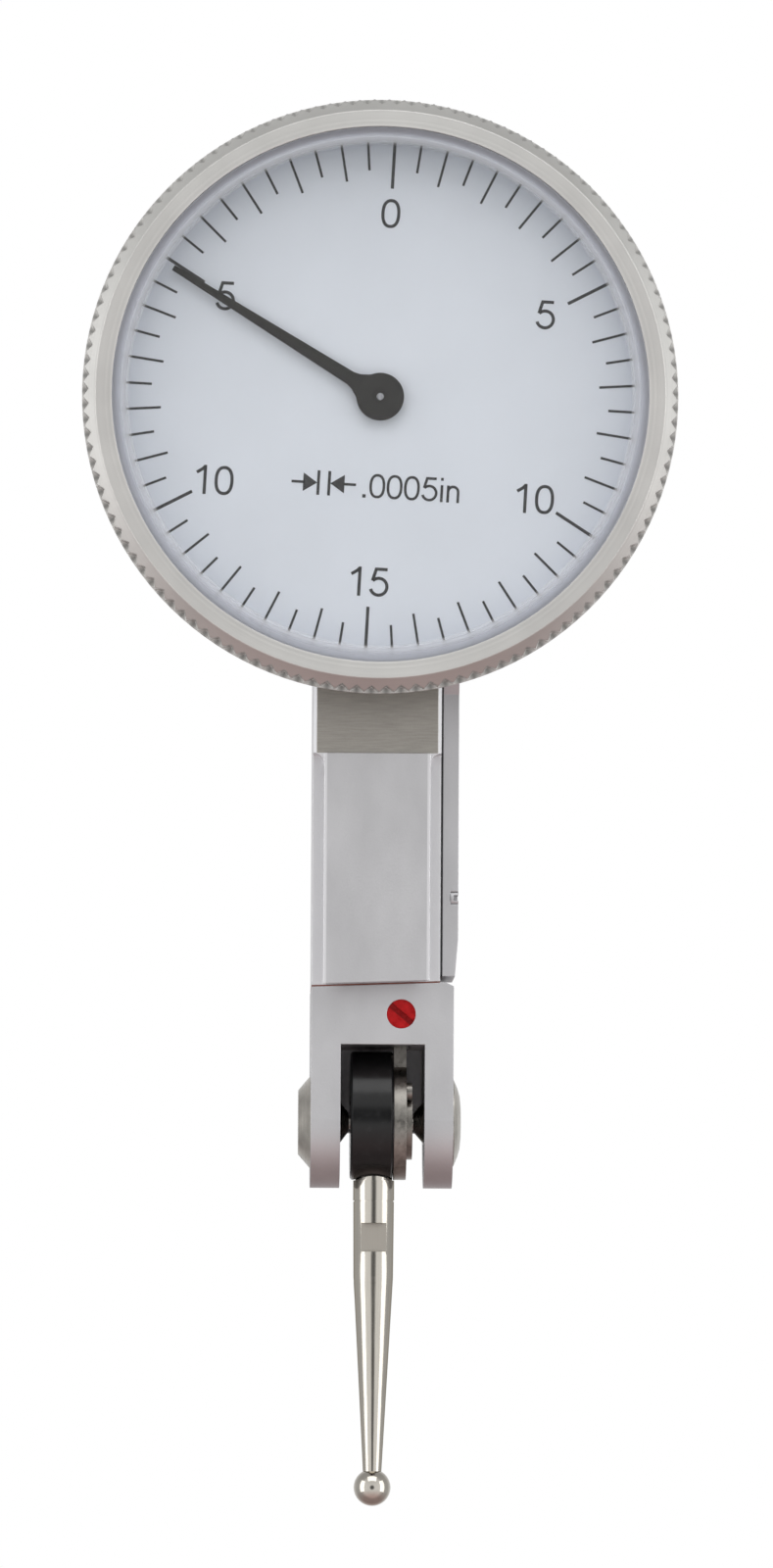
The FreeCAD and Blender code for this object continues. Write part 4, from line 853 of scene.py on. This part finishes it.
class INDICATOR_OT_movement(bpy.types.Operator):
    """Finish the wheels, arbors, bridges and springs inside"""

    bl_idname = "indicator.movement"
    bl_label = "Movement"

    def execute(self, context):
        dress(
            [
                "movement_bridge",
                "bridge_pillars",
                "centre_cock",
                "centre_bush",
                "hairspring_stud",
                "hairspring_collet",
                "sector_gear",
                "reversing_arm",
                "crown_wheel",
            ],
            "brass",
        )
        dress(["hairspring", "bezel_spring", "contact_pins", "dial_ring"], "spring")
        dress(["sector_arbor", "crown_arbor", "centre_arbor"], "spring")
        return {"FINISHED"}


class INDICATOR_OT_lever(bpy.types.Operator):
    """Finish the lever plate, its nut and its axle"""

    bl_idname = "indicator.lever"
    bl_label = "Lever"

    def execute(self, context):
        dress(["lever_plate", "lever_nut", "lever_stop"], "tumbled")
        dress(["pivot_axle", "friction_washer"], "spring")
        return {"FINISHED"}


class INDICATOR_OT_stylus(bpy.types.Operator):
    """Finish the stylus, its hub and its contact ball"""

    bl_idname = "indicator.stylus"
    bl_label = "Stylus"

    def execute(self, context):
        dress(["stylus_hub"], "black")
        dress(["stylus_collar", "stylus"], "nickel")
        dress(["stylus_ball"], "ball")
        return {"FINISHED"}


class INDICATOR_OT_dial(bpy.types.Operator):
    """Finish the bezel and the dial, and print the scale, the numerals and the legend"""

    bl_idname = "indicator.dial"
    bl_label = "Bezel and Dial"

    def execute(self, context):
        dial = context.scene.indicator_dial
        dress(["bezel"], "chrome_turned")
        dress(["dial_plate"], "enamel")
        dress(["crystal_ring"], "ring")
        dress(["crystal"], "acrylic")
        print_strokes("tick_marks", tick_strokes(dial))
        numerals = []
        for text, angle in (("0", 0), ("5", 60), ("10", 120), ("15", 180), ("10", 240), ("5", 300)):
            turn = math.radians(angle)
            u, v = dial.numeral_radius * math.sin(turn), dial.numeral_radius * math.cos(turn)
            numerals += letter_row(text, dial.numeral_height, u, v)
        print_strokes("numerals", numerals)
        legend_u, legend_v = 1.95 * MM, -4.79 * MM
        print_strokes("legend", letter_row(".0005in", dial.legend_height, legend_u, legend_v))
        self.print_arrows()
        return {"FINISHED"}

    def print_arrows(self):
        """Two bars with an arrow from each side: the sign for one division."""
        u, v = -2.755 * MM, -4.785 * MM
        shaft_start, shaft_end, shaft_width = 1.735 * MM, 1.0 * MM, 0.14 * MM
        bar_place, bar_half, bar_width = 0.29 * MM, 0.66 * MM, 0.155 * MM
        head_tip, head_back, head_half = 0.35 * MM, 1.11 * MM, 0.5 * MM
        strokes, heads = [], []
        for side in (-1, 1):
            shaft = [(u + side * shaft_start, v), (u + side * shaft_end, v)]
            strokes.append((shaft, False, shaft_width))
            bar = [(u + side * bar_place, v - bar_half), (u + side * bar_place, v + bar_half)]
            strokes.append((bar, False, bar_width))
            back = u + side * head_back
            heads.append([(u + side * head_tip, v), (back, v + head_half), (back, v - head_half)])
        print_strokes("division_sign", strokes, heads)


class INDICATOR_OT_pointer(bpy.types.Operator):
    """Finish the pointer and its boss"""

    bl_idname = "indicator.pointer"
    bl_label = "Pointer"

    def execute(self, context):
        dress(["pointer"], "matt_black")
        dress(["pointer_boss"], "brass")
        return {"FINISHED"}


# what polished metal sees: brightness by the direction's Y, from the camera's side (-1) to the back (1)
ROOM = (
    (-1.0, 0.14),
    (-0.99, 0.17),
    (-0.955, 1.0),
    (-0.55, 1.08),
    (-0.2, 0.62),
    (0.4, 0.55),
    (0.85, 0.8),
    (1.0, 0.9),
)


class INDICATOR_OT_studio(bpy.types.Operator):
    """Set the floor, the soft lamps, the white surroundings and the camera"""

    bl_idname = "indicator.studio"
    bl_label = "Studio"

    def execute(self, context):
        studio = context.scene.indicator_studio
        context.scene.view_settings.view_transform = "Standard"
        self.lay_floor(studio)
        self.light_room(context.scene, studio)
        self.hang_lamps(studio)
        self.place_camera(context.scene, studio)
        return {"FINISHED"}

    def lay_floor(self, studio):
        """A pale paper floor below the contact ball."""
        level = SOLID_BOX[0].z - studio.floor_drop
        shape = bmesh.new()
        bmesh.ops.create_grid(shape, x_segments=8, y_segments=8, size=2.5)
        mesh = bpy.data.meshes.new("floor")
        shape.to_mesh(mesh)
        shape.free()
        floor = bpy.data.objects.new("floor", mesh)
        floor.location = (0.0, 0.0, level)
        bpy.context.scene.collection.objects.link(floor)
        # uncoated paper: matt and even, with a felt grain
        material, tree = new_finish("uncoated_paper")
        felt = grain(tree, (1.2, 1.2, 1.2))
        tone = blend(tree, spread(tree, felt, 0.0, 1.0), linear("#ECECEA"), linear("#F2F2F0"))
        surface(tree, tone, 0.9)
        mesh.materials.append(material)
        floor.visible_glossy = False

    def light_room(self, scene, studio):
        """White surroundings, a room with a darker camera side for reflections and a fill for the rest."""
        world = bpy.data.worlds.new("soft_room")
        world.use_nodes = True
        scene.world = world
        tree = world.node_tree
        tree.nodes.clear()
        path = add_node(tree, "ShaderNodeLightPath")
        way = add_node(tree, "ShaderNodeTexCoord")
        split = add_node(tree, "ShaderNodeSeparateXYZ", links={"Vector": way.outputs["Generated"]})
        towards = spread(tree, split.outputs["Y"], 0.0, 1.0, -1.0, 1.0)
        bands = add_node(tree, "ShaderNodeValToRGB", links={"Fac": towards})
        stops = bands.color_ramp.elements
        while len(stops) < len(ROOM):
            stops.new(0.5)
        for stop, (direction, level) in zip(stops, ROOM):
            stop.position = (direction + 1) / 2
            stop.color = (level, level, level, 1.0)
        ends = spread(tree, figure(tree, "ABSOLUTE", split.outputs["Z"]), 1.0, 0.8, 0.15, 0.8)
        strength = figure(tree, "MULTIPLY", bands.outputs["Color"], ends)
        above = spread(tree, split.outputs["Z"], 0.0, 1.0, -0.85, -0.3)
        wires = {"Color": blend(tree, above, linear("#E9CFCC"), linear("#FFFFFF")), "Strength": strength}
        plain = {"Color": linear("#FFFFFF")}
        room = add_node(tree, "ShaderNodeBackground", links=wires)
        matt = add_node(tree, "ShaderNodeBackground", {**plain, "Strength": studio.fill})
        white = add_node(tree, "ShaderNodeBackground", {**plain, "Strength": 1.0})
        seen = matt.outputs[0]
        for ray, view in (("Glossy", room), ("Transmission", white), ("Camera", white)):
            wires = {0: path.outputs["Is %s Ray" % ray], 1: seen, 2: view.outputs[0]}
            seen = add_node(tree, "ShaderNodeMixShader", links=wires).outputs[0]
        add_node(tree, "ShaderNodeOutputWorld", links={"Surface": seen})

    def hang_lamps(self, studio):
        """One wide lamp above in front and a tall one on each side."""
        aim = Vector((0.0, 0.0, 0.005))
        lamps = (
            ("lamp_overhead", (0.0, -0.70, 1.10), (1.20, 0.80), studio.overhead),
            ("lamp_left", (-1.00, -0.40, 0.10), (0.60, 1.20), studio.side),
            ("lamp_right", (1.00, -0.40, 0.10), (0.60, 1.20), studio.side),
        )
        for name, place, (wide, tall), power in lamps:
            data = bpy.data.lights.new(name, "AREA")
            data.shape = "RECTANGLE"
            data.size, data.size_y = wide, tall
            data.energy = power
            lamp = bpy.data.objects.new(name, data)
            lamp.location = place
            lamp.rotation_mode = "QUATERNION"
            lamp.rotation_quaternion = (aim - Vector(place)).to_track_quat("-Z", "Y")
            lamp.visible_camera = False
            bpy.context.scene.collection.objects.link(lamp)

    def place_camera(self, scene, studio):
        """A long lens a little below the middle, looking slightly up."""
        data = bpy.data.cameras.new("camera")
        data.lens = studio.lens
        data.sensor_width = 36.0
        data.clip_start, data.clip_end = 0.01, 20.0
        camera = bpy.data.objects.new("camera", data)
        yaw, pitch, roll = (math.radians(a) for a in studio.aim)
        level = math.cos(pitch)
        forward = Vector((math.sin(yaw) * level, math.cos(yaw) * level, math.sin(pitch)))
        camera.location = studio.camera
        camera.rotation_mode = "QUATERNION"
        camera.rotation_quaternion = forward.to_track_quat("-Z", "Y")
        camera.rotation_quaternion.rotate(Quaternion(forward, roll))
        scene.collection.objects.link(camera)
        scene.camera = camera


class INDICATOR_PT_panel(bpy.types.Panel):
    """Lists the steps that dress the indicator"""

    bl_idname = "INDICATOR_PT_panel"
    bl_label = "Dial Test Indicator"
    bl_space_type = "VIEW_3D"
    bl_region_type = "UI"
    bl_category = "Indicator"

    def draw(self, context):
        layout = self.layout
        for step in STEPS:
            layout.operator(step.bl_idname)
        for group in ("indicator_dial", "indicator_metal", "indicator_studio"):
            settings = getattr(context.scene, group)
            column = layout.box().column()
            for key in settings.__annotations__:
                column.prop(settings, key)


STEPS = (
    INDICATOR_OT_body,
    INDICATOR_OT_screws,
    INDICATOR_OT_movement,
    INDICATOR_OT_lever,
    INDICATOR_OT_stylus,
    INDICATOR_OT_dial,
    INDICATOR_OT_pointer,
    INDICATOR_OT_studio,
)
GROUPS = (IndicatorDial, IndicatorMetal, IndicatorStudio)


def register():
    """Registers the settings, the steps and the panel."""
    for thing in GROUPS + STEPS + (INDICATOR_PT_panel,):
        bpy.utils.register_class(thing)
    bpy.types.Scene.indicator_dial = PointerProperty(type=IndicatorDial)
    bpy.types.Scene.indicator_metal = PointerProperty(type=IndicatorMetal)
    bpy.types.Scene.indicator_studio = PointerProperty(type=IndicatorStudio)


def unregister():
    """Takes them away again."""
    del bpy.types.Scene.indicator_dial
    del bpy.types.Scene.indicator_metal
    del bpy.types.Scene.indicator_studio
    for thing in reversed(GROUPS + STEPS + (INDICATOR_PT_panel,)):
        bpy.utils.unregister_class(thing)


def main():
    """Runs every step in order."""
    register()
    bpy.ops.indicator.body()
    bpy.ops.indicator.screws()
    bpy.ops.indicator.movement()
    bpy.ops.indicator.lever()
    bpy.ops.indicator.stylus()
    bpy.ops.indicator.dial()
    bpy.ops.indicator.pointer()
    bpy.ops.indicator.studio()


if __name__ == "__main__":
    main()
